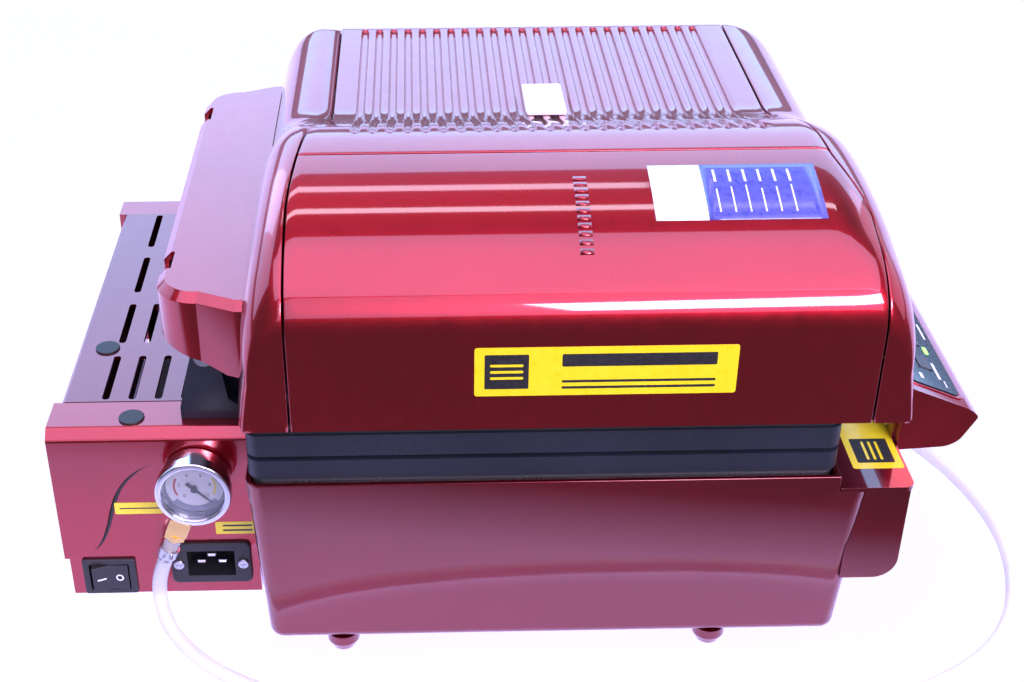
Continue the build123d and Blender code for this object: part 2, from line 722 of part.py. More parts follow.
overlay_length = 300.0
overlay_width = 34.0
overlay_thickness = 1.0
overlay_middle = top_length / 2
window_size = (74.0, 20.0)
window_x = 0.0
key_x = [-122.0, -94.0, 64.0, 92.0, 120.0]
bolt_x = (-145.0, -50.0, 50.0, 145.0)
bolt_z = 135.0
bolt_radius = 2.0


def make_console_housing():
    """Wedge-shaped shell, hollow from the rear, with a window for the board under its top."""
    shell = side_profile(console_section, -console_x, console_x)
    shell = fillet(shell.edges().filter_by(Axis.X).group_by(Axis.Y)[0], 2.5)
    inner = [
        (console_rear - 2.0, 126.0),
        (console_rear - 2.0, 163.5),
        (console_nose + 8.0, 149.0),
        (console_nose + 4.5, 145.0),
        (console_nose + 12.5, 131.0),
        (console_nose + 18.0, 128.0),
    ]
    shell -= side_profile(inner, -console_x + console_wall, console_x - console_wall)
    opening = on_console(0, overlay_middle, 0) * Box(overlay_length - 14, overlay_width - 8, 12)
    shell -= opening
    for x in bolt_x:
        shell -= rod(bolt_radius, (x, console_rear - 4, bolt_z), (x, console_rear + 1, bolt_z))
    return shell


def make_console_overlay():
    """Black glossy plate on the sloping top, cut out for the keys and the window."""
    plate = extrude(RectangleRounded(overlay_length, overlay_width, 5), overlay_thickness)
    plate -= Pos(window_x, 0, 0) * Box(*window_size, 4)
    for x in key_x:
        plate -= Pos(x, 0, 0) * Box(key_length + 2 * running_gap, key_width + 2 * running_gap, 4)
    return on_console(0, overlay_middle, 0) * plate


def make_display_window():
    """Smoked window let into the overlay."""
    pane = Box(window_size[0], window_size[1], 1.8, align=(Align.CENTER, Align.CENTER, Align.MAX))
    return on_console(window_x, overlay_middle, overlay_thickness) * pane


def make_control_board():
    """Board under the overlay, with digit display, lamp and a switch under each key."""
    board = Pos(0, 0, -9) * Box(overlay_length - 18, overlay_width - 11, 1.6)
    board += Pos(window_x, 0, -5.0) * Box(66, 17, 7.4)
    for x in key_x:
        board += Pos(x, 0, -6.0) * Box(7, 7, 5.0)
    for x in (-133, -50, 50, 133):
        board += Pos(x, 0, -11) * Cylinder(2.5, 2.6)
    return on_console(0, overlay_middle, 0) * board


def make_key(x):
    """A key cap with a stem that rests above its switch."""
    cap = Box(key_length, key_width, 2.6, align=(Align.CENTER, Align.CENTER, Align.MAX))
    cap = fillet(cap.edges().filter_by(Axis.Z), 2.5)
    cap = fillet(cap.faces().sort_by(Axis.Z)[-1].edges(), 0.5)
    stem = Pos(0, 0, -2.6) * Box(4, 4, 1.5, align=(Align.CENTER, Align.CENTER, Align.MAX))
    return on_console(x, overlay_middle, overlay_thickness + 0.6) * (cap + stem)


def make_case_screws():
    """The inlet's two screws, and the bolts that hold the console to the ledge's upstand."""
    bolts = [pan_screw(3.4, cap_face - 2.6, inlet_y + side * 20, inlet_z) for side in (-1, 1)]
    for x in bolt_x:
        front, rear = console_rear - 2.0, ledge_front + 1.8
        shank = rod(bolt_radius, (x, front, bolt_z), (x, rear + 3, bolt_z))
        head = rod(4.2, (x, front - 2.6, bolt_z), (x, front, bolt_z))
        bolts.append(shank + head + rod(3.6, (x, rear, bolt_z), (x, rear + 2.4, bolt_z)))
    return group(bolts)


# ---------------------------------------------------------------- membrane frame
screw_x, screw_y = band_x - 13.0, band_y - 13.0
frame_screw_spots = [(x, y) for x in (-screw_x, -62.0, 62.0, screw_x) for y in (-screw_y, screw_y)]
frame_screw_spots += [(-screw_x, 0.0), (screw_x, 0.0)]


def drill(shape, radius, z0, z1):
    """The shape with the frame's screw holes through it."""
    for x, y in frame_screw_spots:
        shape -= rod(radius, (x, y, z0), (x, y, z1))
    return shape


def make_lower_band():
    band = ring(band_x, -band_y, band_y, band_width, band_bottom, groove_z, 8)
    return drill(band, 2.6, band_bottom, groove_z)


def make_upper_band():
    band = ring(band_x, -band_y, band_y, band_width, upper_band_z, band_top, 8)
    return drill(band, 2.6, upper_band_z, band_top)


def make_membrane():
    sheet_x = band_x - 4
    sheet_y = band_y - 4
    sheet = block(-sheet_x, sheet_x, -sheet_y, sheet_y, groove_z + 0.1, upper_band_z - 0.1)
    return drill(sheet, 2.6, groove_z, upper_band_z)


def make_frame_screws():
    screws = []
    for x, y in frame_screw_spots:
        shank = rod(2.5, (x, y, band_bottom + 2), (x, y, band_top))
        head = rod(4.2, (x, y, band_top), (x, y, band_top + 2.2))
        head = fillet(head.edges().sort_by(Axis.Z)[-1], 0.9)
        screws.append(shank + head)
    return group(screws)


inner_ear_x = (114.0, 119.0)
membrane_arm_x = (121.0, 126.0)
hood_arm_x = (129.0, 134.0)
outer_ear_x = (136.0, 142.0)
boss_radius = 8.5


def both_sides(shape):
    """A piece and its mirror image about the machine's middle."""
    return group([shape, mirror(shape, Plane.YZ)])


def eye(x0, x1, bore):
    """Drilling for the hinge pin."""
    return rod(bore, (x0 - 1, hinge_y, hinge_z), (x1 + 1, hinge_y, hinge_z))


def make_membrane_arms():
    """Arms from the rear of the frame up to the hinge pins."""
    x0, x1 = membrane_arm_x
    outline = [
        (band_y + 0.1, band_bottom + 7), (band_y + 0.1, band_top - 1),
        (hinge_y - 17, hood_z - 5), (hinge_y - 6, hinge_z + 4), (hinge_y + 4, hinge_z - 6),
        (hinge_y - 8, box_top + 11), (band_y + 8, box_top + 5),
    ]
    arm = side_profile(outline, x0, x1) + rod(boss_radius, (x0, hinge_y, hinge_z), (x1, hinge_y, hinge_z))
    foot = block(x0 - 14, x1 + 2, band_y + 0.1, band_y + 3, band_bottom + 7, band_top - 1)
    return both_sides(arm + foot - eye(x0, x1, pin_radius + pin_clearance))


# ---------------------------------------------------------------- hood
def smooth_step(t):
    """Eases from 0 to 1."""
    t = min(max(t, 0.0), 1.0)
    return t * t * (3 - 2 * t)


def quarter(t):
    """Fall of a quarter ellipse, from 1 at its foot to 0 where it meets the flat."""
    t = min(max(t, 0.0), 1.0)
    return 1 - sqrt(1 - (1 - t) ** 2)


def hood_height(x):
    """Height of the hood's top above its lower edge, along its length."""
    if x < crest_x:
        return crest_rise - (crest_rise - near_wall_height) * quarter((half_x + x) / (half_x + crest_x))
    fall = smooth_step((x - crest_x) / (knee_x - crest_x))
    height = crest_rise + (ribbed_rise - crest_rise) * fall
    return height - far_roll * quarter((half_x - x) / far_roll)


def hood_section(x, wall):
    """One upright slice of the hood's outside, or of its inside when a wall is given."""
    taper = taper_depth * quarter((half_x - abs(x)) / taper_length) + wall
    rear_foot, front_foot = hood_rear - taper, -hood_front + taper
    rear, front = rear_foot - wall_lean, front_foot + wall_lean
    height = hood_height(x)
    top = hood_z + height - wall
    fade = smooth_step((half_x + x) / 50)
    front_reach = near_end_roll + (front_roll - near_end_roll) * fade
    rear_reach = near_end_roll + (rear_roll - near_end_roll) * fade
    rise = roll_share * height
    low = hood_z - (1.0 if wall else 0.0)
    shoulder = top - rise
    bow = 0.5523
    rear_middle = Bezier(
        (rear, shoulder), (rear, shoulder + bow * rise),
        (rear - rear_reach * (1 - bow), top), (rear - rear_reach, top),
    )
    front_middle = Bezier(
        (front + front_reach, top), (front + front_reach * (1 - bow), top),
        (front, shoulder + bow * rise), (front, shoulder),
    )
    outline = Line((front_foot, low), (rear_foot, low)) + Line((rear_foot, low), (rear, shoulder)) + rear_middle
    outline += Line((rear - rear_reach, top), (front + front_reach, top)) + front_middle
    outline += Line((front, shoulder), (front_foot, low))
    return Pos(x, 0, 0) * (Plane.YZ * make_face(outline))


hood_stations = [-202, -201, -199, -195, -188, -178, -165, -148, -128, -104, -75, -52, -34, -17, 0, 18, 40]
hood_stations += [75, 120, 160, 180, 190, 194, 198, 200.5, 202]


def hood_form(wall, lower=0.0):
    """The hood's outside, its inside, or its outside lowered by a groove's depth."""
    inset = half_x - wall - lower
    scale = inset / half_x
    slices = [hood_section(station * scale, wall + lower) for station in hood_stations]
    return loft(slices, ruled=True)


def seam_wall(side, offsets):
    """A thin upright wall along a seam, seen from above as a long S."""
    foot, crest, ribs = [side * offset for offset in offsets]
    start = Line((-half_x - 5, foot), (-150, foot))
    to_crest = Spline([(-150, foot), (cross_seam_x, crest)], tangents=[(1, 0), (1, (ribs - crest) / 160)])
    to_ribs = Spline([(cross_seam_x, crest), (30, ribs)], tangents=[(1, (ribs - crest) / 160), (1, 0)])
    end = Line((30, ribs), (half_x + 5, ribs))
    path = start + to_crest + to_ribs + end
    return path


def make_hood_panels():
    """The hood's four mouldings: front rail, rear rail, bulge panel and ribbed panel."""
    shell = hood_form(0) - hood_form(hood_wall)
    tall = crest_rise + 40
    parts = []
    far = 60.0
    for side, offsets in ((-1, front_seam), (1, rear_seam)):
        path = seam_wall(side, offsets)
        for shift in (seam_gap / 2, -seam_gap / 2):
            line = Pos(0, shift * side, 0) * path
            ends = (line @ 0, line @ 1)
            out = side * (hood_front + far)
            back = Polyline([(ends[1].X, ends[1].Y), (ends[1].X, out), (ends[0].X, out), (ends[0].X, ends[0].Y)])
            area = make_face(line + back)
            parts.append(Pos(0, 0, hood_z - 10) * extrude(area, tall))
    front_outer, front_inner, rear_outer, rear_inner = parts
    front_rail = shell & front_outer
    rear_rail = shell & rear_outer
    middle = shell - front_inner - rear_inner
    near_half = block(-half_x - 5, cross_seam_x - seam_gap / 2, -300, 300, hood_z - 10, hood_z + tall)
    far_half = block(cross_seam_x + seam_gap / 2, half_x + 5, -300, 300, hood_z - 10, hood_z + tall)
    bulge = middle & near_half
    ribbed = middle & far_half
    floor_of_grooves = hood_form(0, rib_depth)
    grooves = []
    for step in range(rib_count):
        y = rib_first_y - step * rib_pitch
        slot = Pos((rib_near_x + rib_far_x) / 2, y) * SlotOverall(rib_far_x - rib_near_x, rib_groove)
        grooves.append(Pos(0, 0, hood_z + 60) * extrude(slot, 100))
    cutter = Compound(children=grooves) - floor_of_grooves
    ribbed = ribbed - cutter
    return front_rail, rear_rail, bulge, ribbed


def make_hood_frame():
    """Black steel ring that the mouldings and the reflector are fixed to."""
    outer_x = half_x - hood_wall - 1.0
    front = -hood_front + hood_wall + 1.0
    rear = hood_rear - hood_wall - 1.0
    return ring(outer_x, front, rear, 24, hood_z, hood_z + 4, 14)


def make_hood_seal():
    return ring(band_x - 2, -band_y + 2, band_y - 2, 6, band_top + seal_gap, hood_z, 6)


def make_reflector():
    """Bright pan over the heating tubes."""
    x, y0, y1 = 172.0, -150.0, 148.0
    top = hood_z + 62
    pan = block(-x, x, y0, y1, hood_z + 4, top)
    pan = fillet(pan.edges().filter_by(Axis.X).group_by(Axis.Z)[-1], 14)
    inside = block(-x + 1.5, x - 1.5, y0 + 1.5, y1 - 1.5, hood_z + 4, top - 1.5)
    inside = fillet(inside.edges().filter_by(Axis.X).group_by(Axis.Z)[-1], 12.5)
    lip = ring(x + 8, y0 - 8, y1 + 8, 9, hood_z + 4, hood_z + 5.5, 2)
    return pan - inside + lip


tube_z = 34.0
tube_rows = (-112.0, -56.0, 0.0, 56.0, 112.0)


def make_heating_tubes():
    """Quartz tubes with ceramic ends."""
    z = hood_z + tube_z
    tubes = []
    for y in tube_rows:
        tube = rod(5, (-156, y, z), (156, y, z)) + rod(6, (-162, y, z), (-150, y, z))
        tubes.append(tube + rod(6, (150, y, z), (162, y, z)))
    return group(tubes)


def make_tube_holders():
    """Rails across the reflector's two ends that hold the tubes."""
    z = hood_z + tube_z
    rail = block(162.2, 170.4, -140, 138, z - 9, z + 9)
    rail = chamfer(rail.edges().filter_by(Axis.Y), 1)
    return both_sides(rail)


def make_hood_arms():
    """Arms from the hood's rear wall to the hinge pins."""
    x0, x1 = hood_arm_x
    wall = hood_rear + 0.1
    outline = [
        (wall, hood_z + 4), (wall, fairing_top - 14), (wall + 8, fairing_top - 14),
        (hinge_y + 6, hinge_z + 6), (hinge_y + 2, hinge_z - 8), (hinge_y - 6, hinge_z - 6),
    ]
    arm = side_profile(outline, x0, x1) + rod(boss_radius, (x0, hinge_y, hinge_z), (x1, hinge_y, hinge_z))
    pad = block(x0 - 3, x1 + 16, wall, wall + 3, hood_z + 12, fairing_top - 14)
    return both_sides(arm + pad - eye(x0, x1, pin_radius + pin_clearance))


def fairing_outline(inset):
    """Plan of the fairing: rounded rear corners and ends that flare towards the hood."""
    half, rear = fairing_half_length - inset, fairing_rear - inset
    front = hood_rear - 12
    corners = [(-half - 10, front), (-half - 10, front + 12), (-half, front + 34), (-half, rear)]
    corners += [(half, rear), (half, front + 34), (half + 10, front + 12), (half + 10, front)]
    face = make_face(Polyline([*corners, corners[0]]))
    rear_corners = face.vertices().group_by(Axis.Y)[-1]
    return fillet(rear_corners, 24 - inset)


notch_x = 107.0


def make_fairing():
    """Cover over the hinge behind the hood, open below, with two notches in its rear edge."""
    height = fairing_top - fairing_bottom
    body = Pos(0, 0, fairing_bottom) * extrude(fairing_outline(0), height)
    top_edges = body.faces().sort_by(Axis.Z)[-1].edges().sort_by(Axis.Y)[1:]
    body = chamfer(top_edges, 5)
    inside = Pos(0, 0, fairing_bottom) * extrude(fairing_outline(3), height - 3)
    inside = chamfer(inside.faces().sort_by(Axis.Z)[-1].edges().sort_by(Axis.Y)[1:], 3.5)
    body -= inside
    low_front, low_rear = fairing_bottom, fairing_bottom + fairing_rise
    under = [(hood_rear - 13, low_front - 1), (hood_rear - 13, low_front), (hood_rear + 7, low_front)]
    under += [(fairing_rear + 1, low_rear), (fairing_rear + 1, low_front - 1)]
    body -= side_profile(under, -half_x, half_x)
    body -= hood_form(-seal_gap)
    for x in (-notch_x, notch_x):
        body -= block(x - 10, x + 10, fairing_rear - 7, fairing_rear + 1, fairing_top - 9, fairing_top + 1)
    return body


def make_hinge_brackets():
    """Two clevis brackets on the rear box that carry the pins."""
    ears = []
    for x0, x1 in (inner_ear_x, outer_ear_x):
        outline = [
            (hinge_y - 17, box_top + 0.1), (hinge_y + 17, box_top + 0.1), (hinge_y + 17, box_top + 8),
            (hinge_y + 8, hinge_z), (hinge_y - 8, hinge_z), (hinge_y - 12, box_top + 14), (hinge_y - 17, box_top + 10),
        ]
        ear = side_profile(outline, x0, x1) + rod(boss_radius, (x0, hinge_y, hinge_z), (x1, hinge_y, hinge_z))
        ears.append(ear - eye(x0, x1, pin_radius))
    base = block(inner_ear_x[0], outer_ear_x[1], hinge_y - 17, hinge_y + 17, box_top + 0.1, box_top + 4)
    return both_sides(ears[0] + ears[1] + base)


def make_hinge_pins():
    pin = rod(pin_radius, (inner_ear_x[0] - 1.5, hinge_y, hinge_z), (outer_ear_x[1], hinge_y, hinge_z))
    collar = rod(6, (outer_ear_x[1], hinge_y, hinge_z), (outer_ear_x[1] + 2, hinge_y, hinge_z))
    return both_sides(pin + collar)


def make_badge_plate():
    """Blank name plate on the ribs."""
    plate = extrude(RectangleRounded(badge_length, badge_width, 1.5), 1.6)
    x0, x1 = badge_near_x, badge_near_x + badge_length
    fall = hood_height(x0) - hood_height(x1)
    middle = hood_z + (hood_height(x0) + hood_height(x1)) / 2 + 0.4
    return Pos((x0 + x1) / 2, -15, middle) * Rot(0, degrees(atan2(fall, badge_length)), 0) * plate


# ---------------------------------------------------------------- writing the parts
def write(name, shape):
    """Shifts a part so that the origin is under the machine's middle, and writes it."""
    moved = Pos(0, y_shift, 0) * shape
    export_step(moved, "parts/" + name + ".step")


def main():
    os.makedirs("parts", exist_ok=True)
    write("tub", make_tub())
    write("chamber_liner", make_chamber_liner())
    write("platen", make_platen())
    write("support_posts", make_support_posts())
    write("tub_gasket", make_tub_gasket())
    write("ledge_plate", make_ledge_plate())
    write("front_block", make_front_block())
    write("tub_feet", make_tub_feet())
    write("rear_tray", make_rear_tray())
    write("vent_cover", make_vent_cover())
    write("left_end_cap", make_left_end_cap())
    write("right_end_cap", make_right_end_cap())
    write("hole_plugs", make_hole_plugs())
    write("rear_feet", make_rear_feet())
    write("inlet_housing", make_inlet_housing())
    write("inlet_pins", make_inlet_pins())
    write("case_screws", make_case_screws())
    write("switch_bezel", make_switch_bezel())
    write("switch_rocker", make_switch_rocker())
    write("gauge_case", make_gauge_case())
    write("gauge_bezel", make_gauge_bezel())
    write("gauge_dial", make_gauge_dial())
    write("gauge_glass", make_gauge_glass())
    write("gauge_pointer", make_gauge_pointer())
    write("hose_fittings", group([make_hose_tee(), make_hose_port()]))
    write("hose_cuffs", make_hose_cuffs())
    write("hose_clamps", make_hose_clamps())
    write("vacuum_hose", make_vacuum_hose())
    write("vacuum_pump", group([make_pump_body(), make_pump_motor()]))
    write("pump_tube", make_pump_tube())
    write("circuit_boards", group([make_power_board(), make_control_board()]))
    write("fan_frame", make_fan_frame())
    write("fan_rotor", make_fan_rotor())
    write("console_housing", make_console_housing())
    write("console_overlay", make_console_overlay())
    write("display_window", make_display_window())
    for number, x in enumerate(key_x, start=1):
        write(f"key_{number}", make_key(x))
    write("lower_band", make_lower_band())
    write("upper_band", make_upper_band())
    write("membrane", make_membrane())
    write("frame_screws", make_frame_screws())
    write("membrane_arms", make_membrane_arms())
    front_rail, rear_rail, bulge, ribbed = make_hood_panels()
    write("hood_front_rail", front_rail)
    write("hood_rear_rail", rear_rail)
    write("hood_bulge_panel", bulge)
    write("hood_ribbed_panel", ribbed)
    write("hood_frame", make_hood_frame())
    write("hood_seal", make_hood_seal())
    write("reflector", make_reflector())
    write("heating_tubes", make_heating_tubes())
    write("tube_holders", make_tube_holders())
    write("hood_arms", make_hood_arms())
    write("fairing", make_fairing())
    write("hinge_brackets", make_hinge_brackets())
    write("hinge_pins", make_hinge_pins())
    write("badge_plate", make_badge_plate())


main()
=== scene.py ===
import json
from math import acos, cos, hypot, pi, radians, sin, sqrt

import bmesh
import bpy
from mathutils import Matrix, Vector

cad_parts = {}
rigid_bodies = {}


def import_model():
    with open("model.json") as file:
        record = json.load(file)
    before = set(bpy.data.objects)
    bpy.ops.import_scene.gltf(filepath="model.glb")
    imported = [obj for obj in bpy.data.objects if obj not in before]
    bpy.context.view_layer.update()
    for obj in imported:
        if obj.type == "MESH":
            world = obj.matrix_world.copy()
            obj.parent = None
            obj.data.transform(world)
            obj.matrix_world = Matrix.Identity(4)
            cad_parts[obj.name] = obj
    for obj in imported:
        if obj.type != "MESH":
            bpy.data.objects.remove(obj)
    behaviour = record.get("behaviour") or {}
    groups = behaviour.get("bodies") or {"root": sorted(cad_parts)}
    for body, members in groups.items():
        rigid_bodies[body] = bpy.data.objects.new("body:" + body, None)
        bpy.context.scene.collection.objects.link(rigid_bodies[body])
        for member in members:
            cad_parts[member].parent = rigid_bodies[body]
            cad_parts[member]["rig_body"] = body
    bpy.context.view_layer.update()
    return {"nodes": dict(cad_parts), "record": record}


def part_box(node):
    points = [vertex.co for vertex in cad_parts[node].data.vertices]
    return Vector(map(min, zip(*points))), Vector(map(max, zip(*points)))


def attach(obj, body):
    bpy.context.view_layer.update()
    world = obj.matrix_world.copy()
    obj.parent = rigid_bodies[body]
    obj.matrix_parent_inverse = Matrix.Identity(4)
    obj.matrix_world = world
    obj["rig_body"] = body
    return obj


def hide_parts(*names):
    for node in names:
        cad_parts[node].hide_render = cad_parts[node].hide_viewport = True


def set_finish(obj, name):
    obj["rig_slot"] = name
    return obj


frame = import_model()
nodes = frame["nodes"]
MM = 0.001

# ---------------------------------------------------------------- camera
CAMERA_PLACE = (-0.9004, 0.0529, 0.6614)
CAMERA_SIGHT = (0.8507, -0.0156, -0.5255)
CAMERA_ROLL = -0.3
eye = bpy.data.cameras.new("camera")
eye.lens = 54.05
eye.sensor_width = 36.0
eye.shift_x = 0.066
eye.clip_end = 60.0
camera = bpy.data.objects.new("camera", eye)
camera.location = CAMERA_PLACE
facing = Vector(CAMERA_SIGHT).to_track_quat("-Z", "Y").to_matrix()
camera.rotation_euler = (facing @ Matrix.Rotation(radians(CAMERA_ROLL), 3, "Z")).to_euler()
bpy.context.scene.collection.objects.link(camera)
bpy.context.scene.camera = camera


# ---------------------------------------------------------------- finishes
class Value:
    """A value that changes over a surface; sums with it add their own nodes."""

    def __init__(self, finish, socket):
        self.finish = finish
        self.socket = socket

    def sum(self, operation, other):
        return self.finish.node("ShaderNodeMath", {"operation": operation}, {0: self, 1: other})

    def __add__(self, other):
        return self.sum("ADD", other)

    def __mul__(self, other):
        return self.sum("MULTIPLY", other)


class Finish:
    """A material; its constants stand on the shader's own sockets."""

    def __init__(self, name, **constants):
        self.material = bpy.data.materials.new(name)
        self.material.use_nodes = True
        self.tree = self.material.node_tree
        self.shader = self.tree.nodes["Principled BSDF"]
        for socket, value in constants.items():
            self.shader.inputs[socket.replace("_", " ")].default_value = value
        self.place = self.node("ShaderNodeTexCoord", {}, {}, "Object")

    def node(self, kind, settings, links, out=0):
        """Any node: its settings, what goes into its sockets, and the output that is used."""
        made = self.tree.nodes.new(kind)
        for setting, value in settings.items():
            setattr(made, setting, value)
        for socket, value in links.items():
            if isinstance(value, Value):
                self.tree.links.new(value.socket, made.inputs[socket])
            else:
                made.inputs[socket].default_value = value
        return Value(self, made.outputs[out])

    def noise(self, scale, detail=3.0, stretch=(1, 1, 1)):
        """Even noise, its clouds drawn out by the stretch."""
        spot = self.node("ShaderNodeMapping", {}, {"Vector": self.place, "Scale": stretch})
        return self.node("ShaderNodeTexNoise", {}, {"Vector": spot, "Scale": scale, "Detail": detail})

    def axis(self, index):
        """One coordinate of the surface's place."""
        return self.node("ShaderNodeSeparateXYZ", {}, {0: self.place}, index)

    def spread(self, value, low, high, to_low, to_high):
        """A value's range drawn out to another range, and clamped to it."""
        return self.node("ShaderNodeMapRange", {}, {0: value, 1: low, 2: high, 3: to_low, 4: to_high})

    def blend(self, share, first, second):
        """Colours mixed by a share."""
        return self.node("ShaderNodeMix", {"data_type": "RGBA"}, {0: share, 6: first, 7: second}, 2)

    def relief(self, height, strength, distance):
        """A bump of the surface; it ends the finish."""
        links = {"Height": height, "Strength": strength, "Distance": distance}
        return self.put(Normal=self.node("ShaderNodeBump", {}, links))

    def put(self, **values):
        """Leads values into the shader's sockets."""
        for socket, value in values.items():
            self.tree.links.new(value.socket, self.shader.inputs[socket.replace("_", " ")])
        return self


def tone(red, green, blue):
    return (red, green, blue, 1.0)


FLAKE_SCALE = 2600.0
PEEL_SCALE = 150.0


def wine_paint(name, base, bright, rough):
    """Metallic wine-red paint: flakes, a slow drift of colour and orange peel under a clear coat."""
    paint = Finish(name, Metallic=0.9, Coat_Weight=1.0, Coat_Roughness=0.05, Coat_IOR=1.7)
    links = {"Vector": paint.place, "Scale": FLAKE_SCALE}
    flakes = paint.node("ShaderNodeTexVoronoi", {"feature": "F1"}, links, "Color")
    sparkle = paint.node("ShaderNodeSeparateColor", {}, {0: flakes}, 0)
    drift = paint.noise(7.0, 2.0)
    share = paint.spread(sparkle, 0.0, 1.0, 0.0, 0.5) + paint.spread(drift, 0.3, 0.7, 0.0, 0.4)
    paint.put(Base_Color=paint.blend(share, base, bright))
    paint.put(Roughness=paint.spread(paint.noise(90.0), 0.3, 0.7, rough - 0.03, rough + 0.04))
    return paint.relief(paint.noise(PEEL_SCALE, 1.0), 0.04, 0.0006).material


def grained(name, base, light, rough, grain, depth, **constants):
    """Moulded or powder-coated surface with an even grain."""
    paint = Finish(name, **constants)
    speckle = paint.noise(grain, 4.0)
    cloud = paint.noise(11.0, 3.0)
    share = paint.spread(speckle * 0.6 + cloud * 0.4, 0.35, 0.65, 0.0, 1.0)
    paint.put(Base_Color=paint.blend(share, base, light))
    paint.put(Roughness=paint.spread(speckle, 0.3, 0.7, rough - 0.06, rough + 0.07))
    return paint.relief(speckle, 0.35, depth).material


def drawn_metal(name, base, dull, rough, stretch, **constants):
    """Plated, turned or brushed metal with fine lines along one way."""
    paint = Finish(name, Metallic=1.0, **constants)
    lines = paint.noise(420.0, 4.0, stretch)
    cloud = paint.noise(22.0, 4.0)
    paint.put(Base_Color=paint.blend(paint.spread(cloud, 0.35, 0.7, 0.0, 1.0), base, dull))
    paint.put(Roughness=paint.spread(lines * 0.6 + cloud * 0.4, 0.3, 0.7, rough - 0.06, rough + 0.1))
    return paint.relief(lines, 0.12, 0.0002).material


def clear(name, base, rough, see_through, **constants):
    """Glass, quartz or silicone that lets light through."""
    paint = Finish(name, Transmission_Weight=see_through, IOR=1.45, **constants)
    haze = paint.noise(60.0, 3.0)
    paint.put(Base_Color=paint.blend(haze, base, tone(*[channel * 0.9 for channel in base[:3]])))
    paint.put(Roughness=paint.spread(haze, 0.3, 0.7, rough, rough + 0.06))
    return paint.relief(haze, 0.05, 0.0003).material


wine = wine_paint("wine_steel", tone(0.17, 0.0015, 0.008), tone(0.25, 0.003, 0.018), 0.33)
lacquer = wine_paint("wine_moulding", tone(0.3, 0.002, 0.01), tone(0.46, 0.004, 0.02), 0.30)
black_steel = grained("black_steel", tone(0.009, 0.012, 0.021), tone(0.02, 0.025, 0.04), 0.42, 900.0,
                      0.0002)
black_plastic = grained("black_plastic", tone(0.012, 0.012, 0.013), tone(0.028, 0.028, 0.031), 0.48,
                        1400.0, 0.0002)
black_gloss = grained("black_gloss", tone(0.012, 0.013, 0.02), tone(0.022, 0.024, 0.034), 0.16, 500.0,
                      0.00005, Coat_Weight=0.6, Coat_Roughness=0.05)
rubber = grained("rubber_black", tone(0.016, 0.016, 0.018), tone(0.034, 0.034, 0.037), 0.66, 700.0, 0.0003)
silicone_sheet = grained("silicone_sheet", tone(0.36, 0.11, 0.06), tone(0.46, 0.18, 0.1), 0.55, 260.0,
                         0.0004, Sheen_Weight=0.2)
silicone_hose = clear("silicone_hose", tone(0.93, 0.94, 0.96), 0.28, 0.45, Subsurface_Weight=0.25)
cuff_silicone = clear("cuff_silicone", tone(0.9, 0.92, 0.95), 0.2, 0.7)
brass = drawn_metal("brass", tone(0.78, 0.52, 0.2), tone(0.55, 0.36, 0.14), 0.22, (1, 1, 6))
nickel = drawn_metal("nickel", tone(0.82, 0.83, 0.86), tone(0.66, 0.67, 0.7), 0.16, (5, 1, 1))
zinc = drawn_metal("zinc_steel", tone(0.62, 0.63, 0.66), tone(0.46, 0.47, 0.5), 0.3, (1, 4, 1))
aluminium = drawn_metal("aluminium", tone(0.8, 0.8, 0.82), tone(0.66, 0.66, 0.69), 0.28, (1, 14, 1))
dial_white = grained("gauge_white", tone(0.86, 0.87, 0.9), tone(0.93, 0.94, 0.96), 0.34, 300.0, 0.00003)
pane = clear("clear_pane", tone(0.95, 0.97, 1.0), 0.02, 0.97)
smoked = clear("smoked_pane", tone(0.035, 0.04, 0.05), 0.06, 0.55)
quartz = clear("quartz", tone(0.9, 0.9, 0.88), 0.12, 0.7)
ceramic = grained("ceramic", tone(0.72, 0.69, 0.62), tone(0.85, 0.82, 0.76), 0.5, 500.0, 0.0002)
pump_grey = grained("pump_grey", tone(0.24, 0.25, 0.27), tone(0.36, 0.37, 0.39), 0.5, 260.0, 0.0006)
yellow = grained("yellow_film", tone(0.92, 0.74, 0.01), tone(0.97, 0.82, 0.025), 0.32, 220.0, 0.00004,
                 Coat_Weight=0.4, Coat_Roughness=0.12)
white_film = grained("white_plate", tone(0.82, 0.83, 0.88), tone(0.92, 0.93, 0.97), 0.28, 220.0, 0.00004,
                     Coat_Weight=0.5, Coat_Roughness=0.1)
blue_film = grained("blue_film", tone(0.05, 0.055, 0.34), tone(0.09, 0.1, 0.44), 0.3, 220.0, 0.00004,
                    Coat_Weight=0.5, Coat_Roughness=0.1)
ink = grained("black_ink", tone(0.012, 0.012, 0.014), tone(0.03, 0.03, 0.034), 0.42, 400.0, 0.00004)
red_ink = grained("red_ink", tone(0.5, 0.02, 0.025), tone(0.62, 0.04, 0.04), 0.42, 400.0, 0.00004)
key_grey = grained("key_grey", tone(0.035, 0.037, 0.045), tone(0.06, 0.062, 0.07), 0.4, 900.0, 0.0001)


def lit_green():
    """Glowing segments of the display."""
    paint = Finish("lit_green", Emission_Strength=3.0, Roughness=0.4)
    glow = paint.noise(300.0, 2.0)
    paint.put(Base_Color=paint.blend(glow, tone(0.02, 0.2, 0.02), tone(0.03, 0.3, 0.03)))
    paint.put(Emission_Color=paint.blend(glow, tone(0.2, 0.9, 0.08), tone(0.35, 1.0, 0.15)))
    return paint.material


